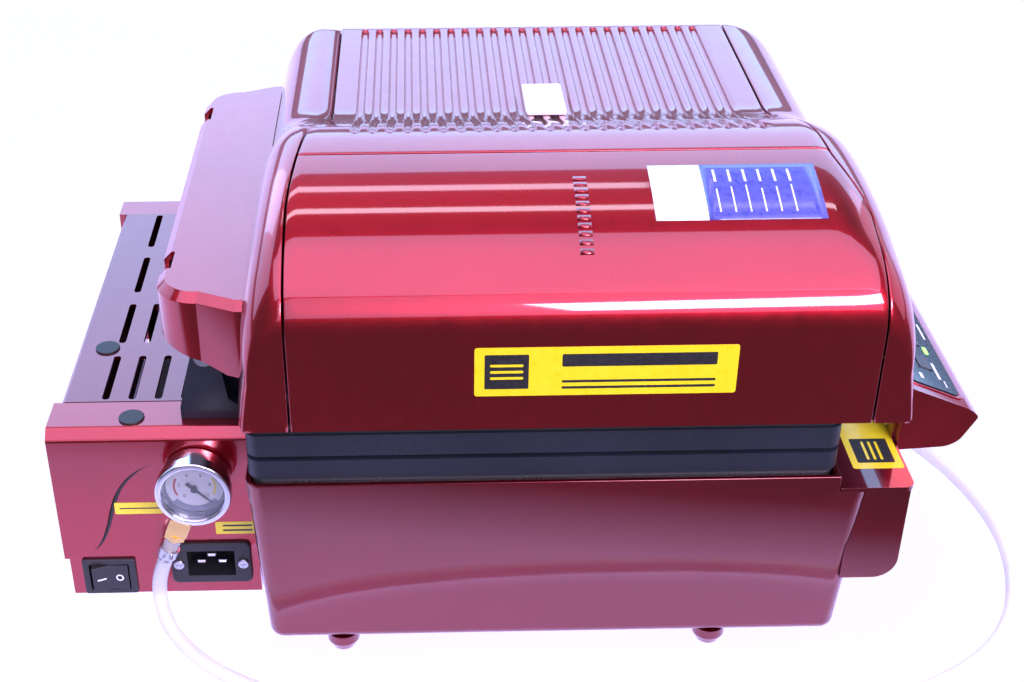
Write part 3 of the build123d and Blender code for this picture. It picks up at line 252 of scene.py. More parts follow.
def board_green():
    """Circuit board: solder mask with copper tracks, and dark parts standing on it."""
    paint = Finish("board_green")
    links = {"Vector": paint.place, "Scale": 120.0, "Mortar Size": 0.04}
    tracks = paint.node("ShaderNodeTexBrick", {}, links, 1)
    cloud = paint.noise(30.0)
    green = paint.blend(cloud, tone(0.01, 0.12, 0.04), tone(0.02, 0.18, 0.06))
    paint.put(Base_Color=paint.blend(tracks, green, tone(0.3, 0.22, 0.08)))
    paint.put(Roughness=paint.spread(cloud, 0.3, 0.7, 0.35, 0.5))
    return paint.relief(tracks, 0.2, 0.0003).material


green_board = board_green()
glow = lit_green()


# ---------------------------------------------------------------- making pieces
def finish_piece(piece, material, body, slot, replaced=(), smooth=40.0):
    """Gives a piece its material, its body, its slot and the nodes it stands for."""
    piece.data.materials.clear()
    piece.data.materials.append(material)
    if piece.type == "MESH" and smooth:
        piece.data.shade_smooth()
        piece.data.set_sharp_from_angle(angle=radians(smooth))
    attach(piece, body)
    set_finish(piece, slot)
    if replaced:
        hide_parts(*replaced)
    return piece


def from_bmesh(name, mesh_code):
    """A linked object from a bmesh."""
    mesh = bpy.data.meshes.new(name)
    mesh_code.to_mesh(mesh)
    mesh_code.free()
    piece = bpy.data.objects.new(name, mesh)
    bpy.context.scene.collection.objects.link(piece)
    return piece


def cut_copy(name):
    """A merged copy of a node's mesh, its flat faces joined again."""
    copy = bmesh.new()
    copy.from_mesh(nodes[name].data)
    bmesh.ops.remove_doubles(copy, verts=copy.verts, dist=2e-6)
    bmesh.ops.dissolve_limit(copy, angle_limit=radians(0.6), verts=copy.verts, edges=copy.edges)
    return copy


def eased(name, new_name, width, body, slot, material, segments=2, wide=None):
    """A node's own shape with its sharp edges eased, so that they catch the light.

    wide is a larger width and a test that picks, by their ends in millimetres, the edges that get it.
    """
    copy = cut_copy(name)
    if wide:
        picked = [
            edge for edge in copy.edges
            if edge.is_manifold and edge.calc_face_angle_signed(0.0) > radians(20)
            and wide[1](edge.verts[0].co / MM, edge.verts[1].co / MM)
        ]
        bmesh.ops.bevel(
            copy, geom=picked, offset=wide[0] * MM, offset_type="OFFSET", segments=5, profile=0.5,
            affect="EDGES", clamp_overlap=True, material=-1, harden_normals=False,
        )
    sharp = [edge for edge in copy.edges if edge.is_manifold and edge.calc_face_angle(0.0) > radians(30)]
    bmesh.ops.bevel(
        copy, geom=sharp, offset=width * MM, offset_type="OFFSET", segments=segments, profile=0.5,
        affect="EDGES", clamp_overlap=True, material=-1, harden_normals=False,
    )
    piece = from_bmesh(new_name, copy)
    finish_piece(piece, material, body, slot, [name], 35.0)
    polish = piece.modifiers.new("even_normals", "WEIGHTED_NORMAL")
    polish.keep_sharp = True
    return piece


def with_wall(piece, thickness):
    """Gives an open sheet a wall below its face, in millimetres."""
    wall = piece.modifiers.new("wall", "SOLIDIFY")
    wall.thickness = thickness * MM
    wall.offset = -1.0
    return piece


def dress(name, material):
    """A better material on a node whose shape is right."""
    nodes[name].data.materials.clear()
    nodes[name].data.materials.append(material)


# ---------------------------------------------------------------- hose
HOSE_RADIUS = 0.0046
hose_route = [
    (-0.1645, 0.2108, 0.0536), (-0.1645, 0.2156, 0.0416), (-0.1677, 0.2170, 0.0292),
    (-0.1737, 0.2147, 0.0180), (-0.1817, 0.2090, 0.0096), (-0.1905, 0.2008, 0.0051),
    (-0.2090, 0.1840, 0.0051), (-0.2270, 0.1580, 0.0051), (-0.2420, 0.1200, 0.0051),
    (-0.2520, 0.0680, 0.0051), (-0.2580, -0.0020, 0.0051), (-0.2600, -0.0800, 0.0051),
    (-0.2580, -0.1560, 0.0051), (-0.2490, -0.2195, 0.0051), (-0.2260, -0.2715, 0.0051),
    (-0.1900, -0.3095, 0.0051), (-0.1400, -0.3305, 0.0051), (-0.0880, -0.3365, 0.0051),
    (-0.0380, -0.3275, 0.0051), (0.0040, -0.3105, 0.0051), (0.0360, -0.2895, 0.0051),
    (0.0569, -0.2544, 0.0051), (0.0614, -0.2354, 0.0051), (0.0626, -0.2235, 0.0100),
    (0.0635, -0.2144, 0.0192), (0.0640, -0.2095, 0.0311), (0.0640, -0.2095, 0.0440),
]


def make_hose():
    """The silicone hose: one smooth line through the route's corners."""
    line = bpy.data.curves.new("vacuum_hose_tube", "CURVE")
    line.dimensions = "3D"
    line.bevel_depth = HOSE_RADIUS
    line.bevel_resolution = 6
    line.resolution_u = 12
    line.use_fill_caps = True
    spline = line.splines.new("NURBS")
    spline.points.add(len(hose_route) - 1)
    for point, place in zip(spline.points, hose_route):
        point.co = (*place, 1.0)
    spline.order_u = 3
    spline.use_endpoint_u = True
    hose = bpy.data.objects.new("vacuum_hose_tube", line)
    bpy.context.scene.collection.objects.link(hose)
    finish_piece(hose, silicone_hose, "base", "silicone_hose", ["vacuum_hose"])


make_hose()

# ---------------------------------------------------------------- the hood's form, in millimetres
DEPTH_SHIFT = -16.0         # the tub's middle lies this far in front of the frame's middle
HALF_X = 202.0
HOOD_Z = 171.3
CREST_X = -75.0
KNEE_X = 40.0
CREST_RISE = 120.0
NEAR_WALL = 61.0
RIBBED_RISE = 89.0
FAR_ROLL = 14.0
FRONT_FOOT = -208.0
REAR_FOOT = 173.0
WALL_LEAN = 5.0
TAPER = 5.0                 # towards each end the hood narrows by this much
TAPER_LENGTH = 30.0
ROLL = 30.0                 # reach of the shoulders; the front one grows away from the left end
FRONT_ROLL_GROWS = 14.0
GROWS_OVER = 50.0
ROLL_SHARE = 0.52           # share of the height that a shoulder takes
CROSS_SEAM = -95.0
SEAM_GAP = 0.8
SEAM_START = -150.0         # the seams run straight up to here
SEAM_END = 30.0             # and straight again from here
SEAM_SLOPE_LENGTH = 160.0
FRONT_SEAM = (182.0, 168.0, 158.0)
REAR_SEAM = (142.0, 138.0, 124.0)
RIB_FIRST = 106.0
RIB_PITCH = 10.5
RIB_COUNT = 24
RIB_ENDS = (-66.0, 188.0)
RIB_DEPTH = 2.1
WALL = 2.4
WALL_SHARE = 0.35           # share of a rail's steps that lie on its upright wall


def smooth_step(t):
    """An S from 0 to 1."""
    t = min(max(t, 0.0), 1.0)
    return t * t * (3 - 2 * t)


def quarter(t):
    """How far a quarter circle falls away, from 1 at its end to 0 where it runs out level."""
    t = min(max(t, 0.0), 1.0)
    return 1 - sqrt(1 - (1 - t) ** 2)


def hood_height(x):
    """Height of the top over the hood's lower edge: bulge, knee, ribbed flat and far roll."""
    if x < CREST_X:
        return CREST_RISE - (CREST_RISE - NEAR_WALL) * quarter((HALF_X + x) / (HALF_X + CREST_X))
    fall = smooth_step((x - CREST_X) / (KNEE_X - CREST_X))
    return CREST_RISE + (RIBBED_RISE - CREST_RISE) * fall - FAR_ROLL * quarter((HALF_X - x) / FAR_ROLL)


class Slice:
    """One upright slice across the hood: leaning walls, rolled shoulders and a flat top."""

    def __init__(self, x):
        taper = TAPER * quarter((HALF_X - abs(x)) / TAPER_LENGTH)
        fade = smooth_step((HALF_X + x) / GROWS_OVER)
        self.feet = (FRONT_FOOT + taper, REAR_FOOT - taper)
        self.shoulders = (self.feet[0] + WALL_LEAN, self.feet[1] - WALL_LEAN)
        self.reach = (ROLL + FRONT_ROLL_GROWS * fade, ROLL)
        self.height = hood_height(x)
        self.rise = ROLL_SHARE * self.height

    def top(self, y):
        """Height above the table of the rolled shoulders and the flat top."""
        front, rear = self.shoulders
        near_front = (front + self.reach[0] - y) / self.reach[0]
        near_rear = (y - rear + self.reach[1]) / self.reach[1]
        inside = max(near_front, near_rear, 0.0)
        return HOOD_Z + self.height - self.rise * (1 - sqrt(max(0.0, 1 - inside ** 2)))

    def rail(self, end, seam, steps):
        """Places from the foot of the front (0) or rear (1) wall over the shoulder to the seam."""
        side = (1, -1)[end]
        shoulder_z = HOOD_Z + self.height - self.rise
        foot, shoulder, reach = self.feet[end], self.shoulders[end], self.reach[end]
        turn = acos(min(max(1 - abs(seam - shoulder) / reach, 0.0), 1.0))
        places = []
        for step in steps:
            if step < WALL_SHARE:
                share = step / WALL_SHARE
                places.append((foot + (shoulder - foot) * share, HOOD_Z + (shoulder_z - HOOD_Z) * share))
            else:
                angle = turn * (step - WALL_SHARE) / (1 - WALL_SHARE)
                y = shoulder + side * reach * (1 - cos(angle))
                places.append((y, shoulder_z + self.rise * sin(angle)))
        places[-1] = (seam, self.top(seam))
        return places


def seam_at(offsets, x):
    """How far a seam lies from the tub's middle: a long S from the bulge to the ribs."""
    foot, crest, ribs = offsets
    if x < CROSS_SEAM:
        length = CROSS_SEAM - SEAM_START
        t = min(max((x - SEAM_START) / length, 0.0), 1.0)
        slope = (ribs - crest) / SEAM_SLOPE_LENGTH * length
        return foot + (3 * t * t - 2 * t ** 3) * (crest - foot) + (t ** 3 - t * t) * slope
    length = SEAM_END - CROSS_SEAM
    t = min((x - CROSS_SEAM) / length, 1.0)
    slope = (ribs - crest) / SEAM_SLOPE_LENGTH * length
    return crest + (3 * t * t - 2 * t ** 3) * (ribs - crest) + (t ** 3 - 2 * t * t + t) * slope


def lip(distance, radius=0.9):
    """Rounding beside a seam: how far the surface sinks this near to an edge."""
    if distance >= radius:
        return 0.0
    return radius - sqrt(radius ** 2 - (radius - distance) ** 2)


def groove(x, y):
    """Depth of the ribbed panel's grooves."""
    near, far = RIB_ENDS
    number = min(max(round((RIB_FIRST - y) / RIB_PITCH), 0), RIB_COUNT - 1)
    across = abs(y - (RIB_FIRST - number * RIB_PITCH))
    away = hypot(max(near + 2.6 - x, x - far + 2.6, 0.0), across)
    return RIB_DEPTH * (1 - smooth_step((away - 1.2) / 1.9))


def left_stations(far):
    """Stations along the bulge, close together where it turns up from the end wall."""
    spots = [CREST_X - (HALF_X + CREST_X) * cos(radians(2.5 * step)) for step in range(37)]
    return [spot for spot in spots if spot < far - 1.5] + [far - 0.9, far - 0.4, far]


def right_stations(near):
    """Stations from a seam to the far end, close together at the rib ends and in the far roll."""
    spots = [near, near + 0.4, near + 0.9]
    spots += [near + 3 + step * 4.2 for step in range(5)]
    spots += [-72.0, -69.0, -67.0, -66.0, -65.4, -64.8, -64.2, -63.6, -63.0, -61.5]
    spots += [-60.0 + 4.6 * step for step in range(53)]
    spots += [184.5, 185.2, 185.8, 186.4, 187.0, 187.6, 188.0]
    spots += [HALF_X - FAR_ROLL + FAR_ROLL * sin(radians(9 * step)) for step in range(11)]
    return sorted(set(round(spot, 3) for spot in spots if spot <= HALF_X))


def panel(stations, across, end_walls):
    """A hood moulding: a grid bent to the hood's form, its end walls drawn down to the lower edge."""
    count = len(across(stations[0]))
    sheet = bmesh.new()
    bmesh.ops.create_grid(sheet, x_segments=len(stations) - 1, y_segments=count - 1, size=0.5)
    rows = {}
    for vert in sheet.verts:
        i = round((vert.co.x + 0.5) * (len(stations) - 1))
        j = round((vert.co.y + 0.5) * (count - 1))
        rows[i, j] = vert
    for i, x in enumerate(stations):
        for j, (y, z) in enumerate(across(x)):
            rows[i, j].co = (x, y, z)
    for wall in end_walls:
        i = 0 if wall < 0 else len(stations) - 1
        row = [rows[i, j] for j in range(count)]
        edges = [edge for edge in sheet.edges if edge.verts[0] in row and edge.verts[1] in row]
        tops = {vert: vert.co.copy() for vert in row}
        for share in (0.2, 0.45, 0.7, 0.9, 0.985, 1.0):
            grown = bmesh.ops.extrude_edge_only(sheet, edges=edges)["geom"]
            fresh = [item for item in grown if isinstance(item, bmesh.types.BMVert)]
            edges = [item for item in grown if isinstance(item, bmesh.types.BMEdge)]
            renewed = {}
            for vert in fresh:
                linked = [link.other_vert(vert) for link in vert.link_edges]
                top = tops[next(other for other in linked if other in tops)]
                vert.co = (top.x, top.y, top.z + (HOOD_Z - top.z) * share)
                renewed[vert] = top
            edges = [edge for edge in edges if edge.verts[0] in renewed and edge.verts[1] in renewed]
            tops = renewed
    bmesh.ops.remove_doubles(sheet, verts=sheet.verts, dist=0.02)
    bmesh.ops.recalc_face_normals(sheet, faces=sheet.faces)
    highest = max(sheet.faces, key=lambda face: face.calc_center_median().z)
    if highest.normal.z < 0:
        bmesh.ops.reverse_faces(sheet, faces=sheet.faces)
    sheet.normal_update()
    return sheet


def sink(sheet, depth):
    """Moves each place in by a depth that depends on where it is."""
    moves = [(vert, vert.normal * depth(vert.co)) for vert in sheet.verts]
    for vert, move in moves:
        vert.co -= move


def moulding(name, sheet, replaced):
    """Turns a hood sheet into a piece with a wall."""
    bmesh.ops.translate(sheet, verts=sheet.verts, vec=(0, DEPTH_SHIFT, 0))
    bmesh.ops.scale(sheet, verts=sheet.verts, vec=(MM, MM, MM))
    piece = with_wall(from_bmesh(name, sheet), WALL)
    return finish_piece(piece, lacquer, "hood", "wine_moulding", [replaced], 50.0)


half_gap = SEAM_GAP / 2
whole_length = [x for x in left_stations(CREST_X + 2) if x < CREST_X]
whole_length += [x for x in right_stations(CROSS_SEAM) if x >= CREST_X]
rail_steps = [0, 0.03, 0.08, 0.16, 0.25, WALL_SHARE]
rail_steps += [WALL_SHARE + (1 - WALL_SHARE) * step / 18 for step in range(1, 18)] + [0.985, 0.994, 1.0]


def front_across(x):
    return Slice(x).rail(0, -seam_at(FRONT_SEAM, x) - half_gap, rail_steps)


def rear_across(x):
    return Slice(x).rail(1, seam_at(REAR_SEAM, x) + half_gap, rail_steps)


def middle_shares(count):
    """Even shares, with close ones at both edges for the lips."""
    inner = [step / count for step in range(1, count)]
    return [0.0, 0.0015, 0.0035] + inner + [0.9965, 0.9985, 1.0]


def bulge_across(x):
    slice_here = Slice(x)
    low, high = -seam_at(FRONT_SEAM, x) + half_gap, seam_at(REAR_SEAM, x) - half_gap
    ys = [low + (high - low) * share for share in middle_shares(56)]
    return [(y, slice_here.top(y)) for y in ys]


rib_profile = (-3.2, -2.6, -2.1, -1.6, -1.1, 0.0, 1.1, 1.6, 2.1, 2.6, 3.2)
rib_lines = sorted(
    RIB_FIRST - number * RIB_PITCH + offset for number in range(RIB_COUNT) for offset in rib_profile
)


def ribbed_across(x):
    slice_here = Slice(x)
    low, high = -seam_at(FRONT_SEAM, x) + half_gap, seam_at(REAR_SEAM, x) - half_gap
    first, last = rib_lines[0], rib_lines[-1]
    ys = [low, low + 0.4, low + 0.9]
    ys += [low + 0.9 + (first - low - 0.9) * step / 5 for step in range(1, 5)]
    ys += rib_lines
    ys += [last + (high - 0.9 - last) * step / 5 for step in range(1, 5)] + [high - 0.9, high - 0.4, high]
    return [(y, slice_here.top(y)) for y in ys]


def edge_lip(co):
    """Rounding at the seams and at the lower edge."""
    front, rear = -seam_at(FRONT_SEAM, co.x), seam_at(REAR_SEAM, co.x)
    away = min(abs(co.y - front) - half_gap, abs(co.y - rear) - half_gap)
    return lip(max(away, 0.0)) + lip(max(co.z - HOOD_Z, 0.0), 1.2)


def middle_lip(co):
    return edge_lip(co) + lip(max(abs(co.x - CROSS_SEAM) - half_gap, 0.0))


sheet = panel(whole_length, front_across, (-1, 1))
sink(sheet, edge_lip)
moulding("front_rail_moulding", sheet, "hood_front_rail")
sheet = panel(whole_length, rear_across, (-1, 1))
sink(sheet, edge_lip)
moulding("rear_rail_moulding", sheet, "hood_rear_rail")
sheet = panel(left_stations(CROSS_SEAM - half_gap), bulge_across, (-1,))
sink(sheet, middle_lip)
moulding("bulge_moulding", sheet, "hood_bulge_panel")
sheet = panel(right_stations(CROSS_SEAM + half_gap), ribbed_across, (1,))
sink(sheet, lambda co: middle_lip(co) + groove(co.x, co.y))
moulding("ribbed_moulding", sheet, "hood_ribbed_panel")


# ---------------------------------------------------------------- films and labels
FILM_WALL = 0.08


def film_on_hood(name, x_range, y_range, proud, material, slot, steps=(14, 10)):
    """A film stuck to the top of the hood, following its curve."""
    film = bmesh.new()
    bmesh.ops.create_grid(film, x_segments=steps[0], y_segments=steps[1], size=0.5)
    for vert in film.verts:
        x = x_range[0] + (x_range[1] - x_range[0]) * (vert.co.x + 0.5)
        y = y_range[0] + (y_range[1] - y_range[0]) * (vert.co.y + 0.5)
        vert.co = (x * MM, y * MM, (Slice(x).top(y - DEPTH_SHIFT) + proud) * MM)
    bmesh.ops.recalc_face_normals(film, faces=film.faces)
    if sum(face.normal.z for face in film.faces) < 0:
        bmesh.ops.reverse_faces(film, faces=film.faces)
    return with_wall(finish_piece(from_bmesh(name, film), material, "hood", slot), FILM_WALL)


def rounded_sheet(size, corner):
    """A flat rectangle with round corners."""
    flat = bmesh.new()
    bmesh.ops.create_grid(flat, x_segments=1, y_segments=1, size=0.5)
    bmesh.ops.scale(flat, verts=flat.verts, vec=(size[0] * MM, size[1] * MM, 1))
    if corner:
        bmesh.ops.bevel(
            flat, geom=flat.verts[:], offset=corner * MM, segments=5, profile=0.5, affect="VERTICES",
            material=-1,
        )
    return flat


def plate(name, size, corner, thickness, place, material, body, slot):
    """A thin plate with round corners, lying in its own plane at a place."""
    flat = rounded_sheet(size, corner)
    grown = bmesh.ops.extrude_face_region(flat, geom=flat.faces[:])["geom"]
    raised = [item for item in grown if isinstance(item, bmesh.types.BMVert)]
    bmesh.ops.translate(flat, verts=raised, vec=(0, 0, thickness * MM))
    bmesh.ops.recalc_face_normals(flat, faces=flat.faces)
    bmesh.ops.transform(flat, matrix=place, verts=flat.verts)
    return finish_piece(from_bmesh(name, flat), material, body, slot, (), 30.0)


def at(x, y, z, right=(1, 0, 0), up=(0, 1, 0)):
    """A place in millimetres for a plate, given its right and its up as seen from outside."""
    right, up = Vector(right).normalized(), Vector(up).normalized()
    spot = Matrix((right, up, right.cross(up))).transposed().to_4x4()
    spot.translation = Vector((x, y, z)) * MM
    return spot


def left(x, y, z):
    """A place on a face that looks to the machine's left."""
    return at(x, y, z, (0, -1, 0), (0, 0, 1))


CONSOLE_TILT = radians(22.62)
CONSOLE_TOP = (-213.7, 168.0)   # the top's rear edge, from the tub's middle, and its height
CONSOLE_RUN, CONSOLE_FALL = 40.8, 17.0


def console(x, along, above):
    """A place on the console's sloping top, read from the front."""
    y = DEPTH_SHIFT + CONSOLE_TOP[0] - along * cos(CONSOLE_TILT) - above * sin(CONSOLE_TILT)
    z = CONSOLE_TOP[1] - along * sin(CONSOLE_TILT) + above * cos(CONSOLE_TILT)
    return at(x, y, z, (1, 0, 0), (0, cos(CONSOLE_TILT), sin(CONSOLE_TILT)))


def join(name, pieces):
    """Several plates of one finish as one piece."""
    first = pieces[0]
    whole = bmesh.new()
    for piece in pieces:
        whole.from_mesh(piece.data)
    body, slot, material = first["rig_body"], first["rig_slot"], first.data.materials[0]
    for piece in pieces:
        bpy.data.objects.remove(piece)
    return finish_piece(from_bmesh(name, whole), material, body, slot, (), 30.0)


def bars(name, spots, thickness, make_place, material, body, slot, corner=0.0):
    """Rows of small plates: each spot gives its middle and its size."""
    made = []
    for number, (across, up, wide, high) in enumerate(spots):
        size, place = (wide, high), make_place(across, up)
        made.append(plate(f"{name}{number}", size, corner, thickness, place, material, body, slot))
    return join(name, made)


# Strip on the hood's near wall and the same strip on the ledge: plain film with a panel and three bars.
WALL_X = -202.05
STRIP = (-47.5, 209.7)
FILM, INK = 0.15, 0.05
MARK = [(-54, 0, 18, 1.6), (-54, 4, 18, 1.6), (-54, -4, 18, 1.6)]
plate("hood_film", (143, 31), 1.5, FILM, left(WALL_X, *STRIP), yellow, "hood", "yellow_film")


def on_strip(above):
    """Places on the hood's strip, read from its middle."""
    return lambda across, up: left(WALL_X - above, STRIP[0] - across, STRIP[1] + up)


bars("hood_film_print", [(-54, 0, 24, 22), (18, 7, 84, 8), (18, -6.5, 84, 1.6), (18, -10.5, 84, 1.6)],
     INK, on_strip(FILM), ink, "hood", "yellow_film", 0.8)
bars("hood_film_mark", MARK, 0.04, on_strip(FILM + INK), yellow, "hood", "yellow_film", 0.6)

LEDGE = 127.02
LEDGE_STRIP = (-112, -213)
plate("ledge_film", (143, 30), 1.5, FILM, at(*LEDGE_STRIP, LEDGE), yellow, "base", "yellow_film")


def on_ledge(above):
    """Places on the ledge's strip, read from its middle."""
    return lambda across, up: at(LEDGE_STRIP[0] + across, LEDGE_STRIP[1] + up, LEDGE + above)


bars("ledge_film_print", [(-54, 0, 24, 22), (18, 6, 84, 8), (18, -7, 84, 1.6), (18, -11, 84, 1.6)],
     INK, on_ledge(FILM), ink, "base", "yellow_film", 0.8)
bars("ledge_film_mark", MARK, 0.04, on_ledge(FILM + INK), yellow, "base", "yellow_film", 0.6)

# Rating plate on the bulge, bare but for ruled lines.
RATING_X = (-157.5, -112.0)
RATING_PROUD, RATING_INK_PROUD = 0.12, 0.2
film_on_hood("rating_film_white", RATING_X, (-105.5, -76.3), RATING_PROUD, white_film, "white_plate")
film_on_hood("rating_film_blue", RATING_X, (-170.5, -105.5), RATING_PROUD, blue_film, "white_plate")
for number in range(6):
    line_y = -112.0 - 8.4 * number
    line_x = (-152.0, -134.0 + 1.5 * (number % 3))
    film_on_hood(f"rating_line_{number}", line_x, (line_y - 0.9, line_y), RATING_INK_PROUD, white_film,
                 "white_plate", (8, 1))
    film_on_hood(f"rating_value_{number}", (-128.0, -117.0), (line_y - 1.4, line_y), RATING_INK_PROUD,
                 white_film, "white_plate", (6, 1))

# Raised bars pressed into the bulge where the real one has lettering.
BAR_FIRST, BAR_PITCH, BAR_HALF, BAR_PROUD = -123.5, 5.2, 1.6, 0.35
for number in range(11):
    x = BAR_FIRST - BAR_PITCH * number
    film_on_hood(f"raised_bar_{number}", (x - BAR_HALF, x + BAR_HALF), (-41.0, -33.5), BAR_PROUD, lacquer,
                 "wine_moulding", (2, 2))

# Plain strips on the left end cap.
CAP_FACE = -153.55
CAP_FILM = 0.12
plate("cap_strip_rear", (31, 8.6), 0.8, CAP_FILM, left(CAP_FACE, 225, 83.7), yellow, "base",
      "yellow_film")
plate("cap_strip_front", (27, 9.4), 0.8, CAP_FILM, left(CAP_FACE, 167, 67.4), yellow, "base",
      "yellow_film")
bars("cap_strip_print", [(225, 83.7, 25, 0.9), (167, 69.2, 18, 1.3), (167, 65.6, 18, 1.3)], 0.03,
     lambda across, up: left(CAP_FACE - CAP_FILM, across, up), ink, "base", "yellow_film")

# Dark joint along the S-shaped step of the cap, widened in the middle as painted shade of the step: each
# place gives depth, height and width.
step_line = [
    (270, 42, 0.6), (266.5, 46, 0.8), (253.5, 56, 1.4), (247, 70, 2.2), (242.5, 86, 2.6),
    (235.5, 101, 2.2), (223.5, 113, 1.5), (212.5, 117, 0.8), (200, 117.4, 0.3),
]
STEP_PIECES = 8             # pieces of the joint between two of its places


def on_step(t):
    """A place on a smooth line through the step's corners, with its width."""
    number = min(int(t), len(step_line) - 4)
    share = t - number
    before, start, end, after = (Vector(step_line[number + k]) for k in range(4))
    bend = 2 * before - 5 * start + 4 * end - after
    turn = 3 * start - before - 3 * end + after
    return 0.5 * (2 * start + (end - before) * share + bend * share ** 2 + turn * share ** 3)


def make_step_joint_shade():
    joint = bmesh.new()
    count = (len(step_line) - 3) * STEP_PIECES
    bmesh.ops.create_grid(joint, x_segments=count, y_segments=1, size=0.5)
    for vert in joint.verts:
        t = (vert.co.x + 0.5) * count / STEP_PIECES
        spot = on_step(t)
        ahead = on_step(min(t + 0.05, len(step_line) - 3)) - on_step(max(t - 0.05, 0))
        across = Vector((ahead.y, -ahead.x)).normalized() * spot.z * (0.5 + vert.co.y)
        vert.co = (CAP_FACE * MM, (spot.x - across.x) * MM, (spot.y - across.y) * MM)
    bmesh.ops.recalc_face_normals(joint, faces=joint.faces)
    if sum(face.normal.x for face in joint.faces) > 0:
        bmesh.ops.reverse_faces(joint, faces=joint.faces)
    # Black strip: a joint line, with painted shade of the step in its wider middle.
    piece = finish_piece(from_bmesh("cap_step_joint_shade", joint), black_plastic, "base", "black_plastic")
    with_wall(piece, 0.04)


make_step_joint_shade()

# ---------------------------------------------------------------- gauge
DIAL_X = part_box("gauge_dial")[0].x / MM
DIAL_INK_X = DIAL_X - 0.04
GAUGE = (188.0, 110.0)
ARC = (11.6, 12.8)


def sector(name, inner, outer, start, sweep, x, material):
    """Part of a flat ring round the gauge's middle, seen from the left."""
    strip = bmesh.new()
    outward = Vector((0, -sin(radians(start)), cos(radians(start)))) * MM
    ends = [strip.verts.new(outward * radius) for radius in (inner, outer)]
    edge = strip.edges.new(ends)
    bmesh.ops.spin(
        strip, geom=[*ends, edge], cent=(0, 0, 0), axis=(1, 0, 0), dvec=(0, 0, 0), angle=radians(sweep),
        steps=max(4, round(abs(sweep) / 5)), use_merge=False, use_duplicate=False,
    )
    bmesh.ops.translate(strip, verts=strip.verts, vec=(x * MM, GAUGE[0] * MM, GAUGE[1] * MM))
    bmesh.ops.recalc_face_normals(strip, faces=strip.faces)
    if sum(face.normal.x for face in strip.faces) > 0:
        bmesh.ops.reverse_faces(strip, faces=strip.faces)
    piece = finish_piece(from_bmesh(name, strip), material, "base", "gauge_white", (), 0)
    return with_wall(piece, 0.03)


bezel_shade_blue = grained("dial_shade_blue", tone(0.16, 0.2, 0.3), tone(0.24, 0.28, 0.38), 0.4, 300.0, 0.00003)
# The red and yellow arcs are print; the blue-grey ring at the dial's rim and the crescent at its foot are
# painted shade of the bezel.
sector("dial_arc_red", *ARC, -120, 60, DIAL_INK_X, red_ink)
sector("dial_arc_yellow", *ARC, 60, 60, DIAL_INK_X, yellow)
sector("dial_rim_shade", 17.2, 18.1, 0, 360, DIAL_INK_X, bezel_shade_blue)
sector("dial_shade", 13.9, 17.2, 128, 104, DIAL_X - 0.05, bezel_shade_blue)


def figure(name, text, size, place, material, body, slot):
    """A plain number as a thin mesh."""
    curve = bpy.data.curves.new(name, "FONT")
    curve.body = text
    curve.size = size * MM
    curve.align_x, curve.align_y = "CENTER", "CENTER"
    curve.extrude = 0.00002
    written = bpy.data.objects.new(name, curve)
    bpy.context.scene.collection.objects.link(written)
    bpy.context.view_layer.update()
    mesh = bpy.data.meshes.new_from_object(written)
    bpy.data.objects.remove(written)
    mesh.transform(place)
    piece = bpy.data.objects.new(name, mesh)
    bpy.context.scene.collection.objects.link(piece)
    return finish_piece(piece, material, body, slot, (), 0)


FIGURE_REACH = 9.2
for number in range(6):
    turn = radians(225 - 54 * number)
    across, up = FIGURE_REACH * cos(turn), FIGURE_REACH * sin(turn)
    spot = left(DIAL_X - 0.05, GAUGE[0] - across, GAUGE[1] + up)
    figure(f"dial_figure_{number}", str(2 * number), 3.4, spot, ink, "base", "gauge_white")

# ---------------------------------------------------------------- console
OVERLAY_MIDDLE = hypot(CONSOLE_RUN, CONSOLE_FALL) / 2
OVERLAY_TOP = 1.0           # above the console's sloping top
segments = {
    "a": (0, 5, 4.6, 1.1), "b": (2.6, 2.5, 1.1, 4.2), "c": (2.6, -2.5, 1.1, 4.2), "d": (0, -5, 4.6, 1.1),
    "e": (-2.6, -2.5, 1.1, 4.2), "f": (-2.6, 2.5, 1.1, 4.2), "g": (0, 0, 4.6, 1.1),
}
shown = {"1": "bc", "8": "abcdefg", "0": "abcdef", "6": "acdefg"}
digits = []
for column, digit in enumerate("180060"):
    middle = -28 + 10 * column + (6 if column > 2 else 0)
    for letter in shown[digit]:
        across, up, wide, high = segments[letter]
        digits.append((middle + across, up, wide, high))
bars("display_digits", digits, 0.06,
     lambda across, up: console(across, OVERLAY_MIDDLE - up, OVERLAY_TOP + 0.03), glow, "base",
     "smoked_pane")
bars("console_lamps", [(-105, 0, 7.5, 2.6), (-48, 6, 2.6, 2.6), (-48, -6, 2.6, 2.6)], 0.4,
     lambda across, up: console(across, OVERLAY_MIDDLE + 7.5 - up, OVERLAY_TOP), glow, "base",
     "black_gloss", 0.6)
captions = [(-128, 29.5, 18, 2.0), (-79, 35.0, 18, 1.6), (-140, 15.5, 6, 2.4), (-141, 32.0, 7, 1.0)]
captions += [(x, 33.5, 12, 1.4) for x in (64, 92, 120)] + [(-29, 9.5, 16, 1.3), (11, 9.5, 16, 1.3)]
bars("console_captions", captions, 0.05, lambda across, up: console(across, up, OVERLAY_TOP), white_film,
     "base", "black_gloss", 0.3)


def ring_plate(name, outer, inner, corner, thickness, place, material, body, slot):
    """A flat rectangular ring with round corners."""
    ring = rounded_sheet(outer, corner)
    width = (outer[0] - inner[0]) / 2
    bmesh.ops.inset_individual(ring, faces=ring.faces[:], thickness=width * MM, use_even_offset=True)
    middle = max(ring.faces, key=lambda face: len(face.verts))
    bmesh.ops.delete(ring, geom=[middle], context="FACES")
    bmesh.ops.transform(ring, matrix=place, verts=ring.verts)
    return with_wall(finish_piece(from_bmesh(name, ring), material, body, slot), thickness)


ring_plate("console_rim", (306, 39.5), (301, 34.5), 6.0, 0.5, console(0, OVERLAY_MIDDLE, 0.52), lacquer,
           "base", "wine_moulding")

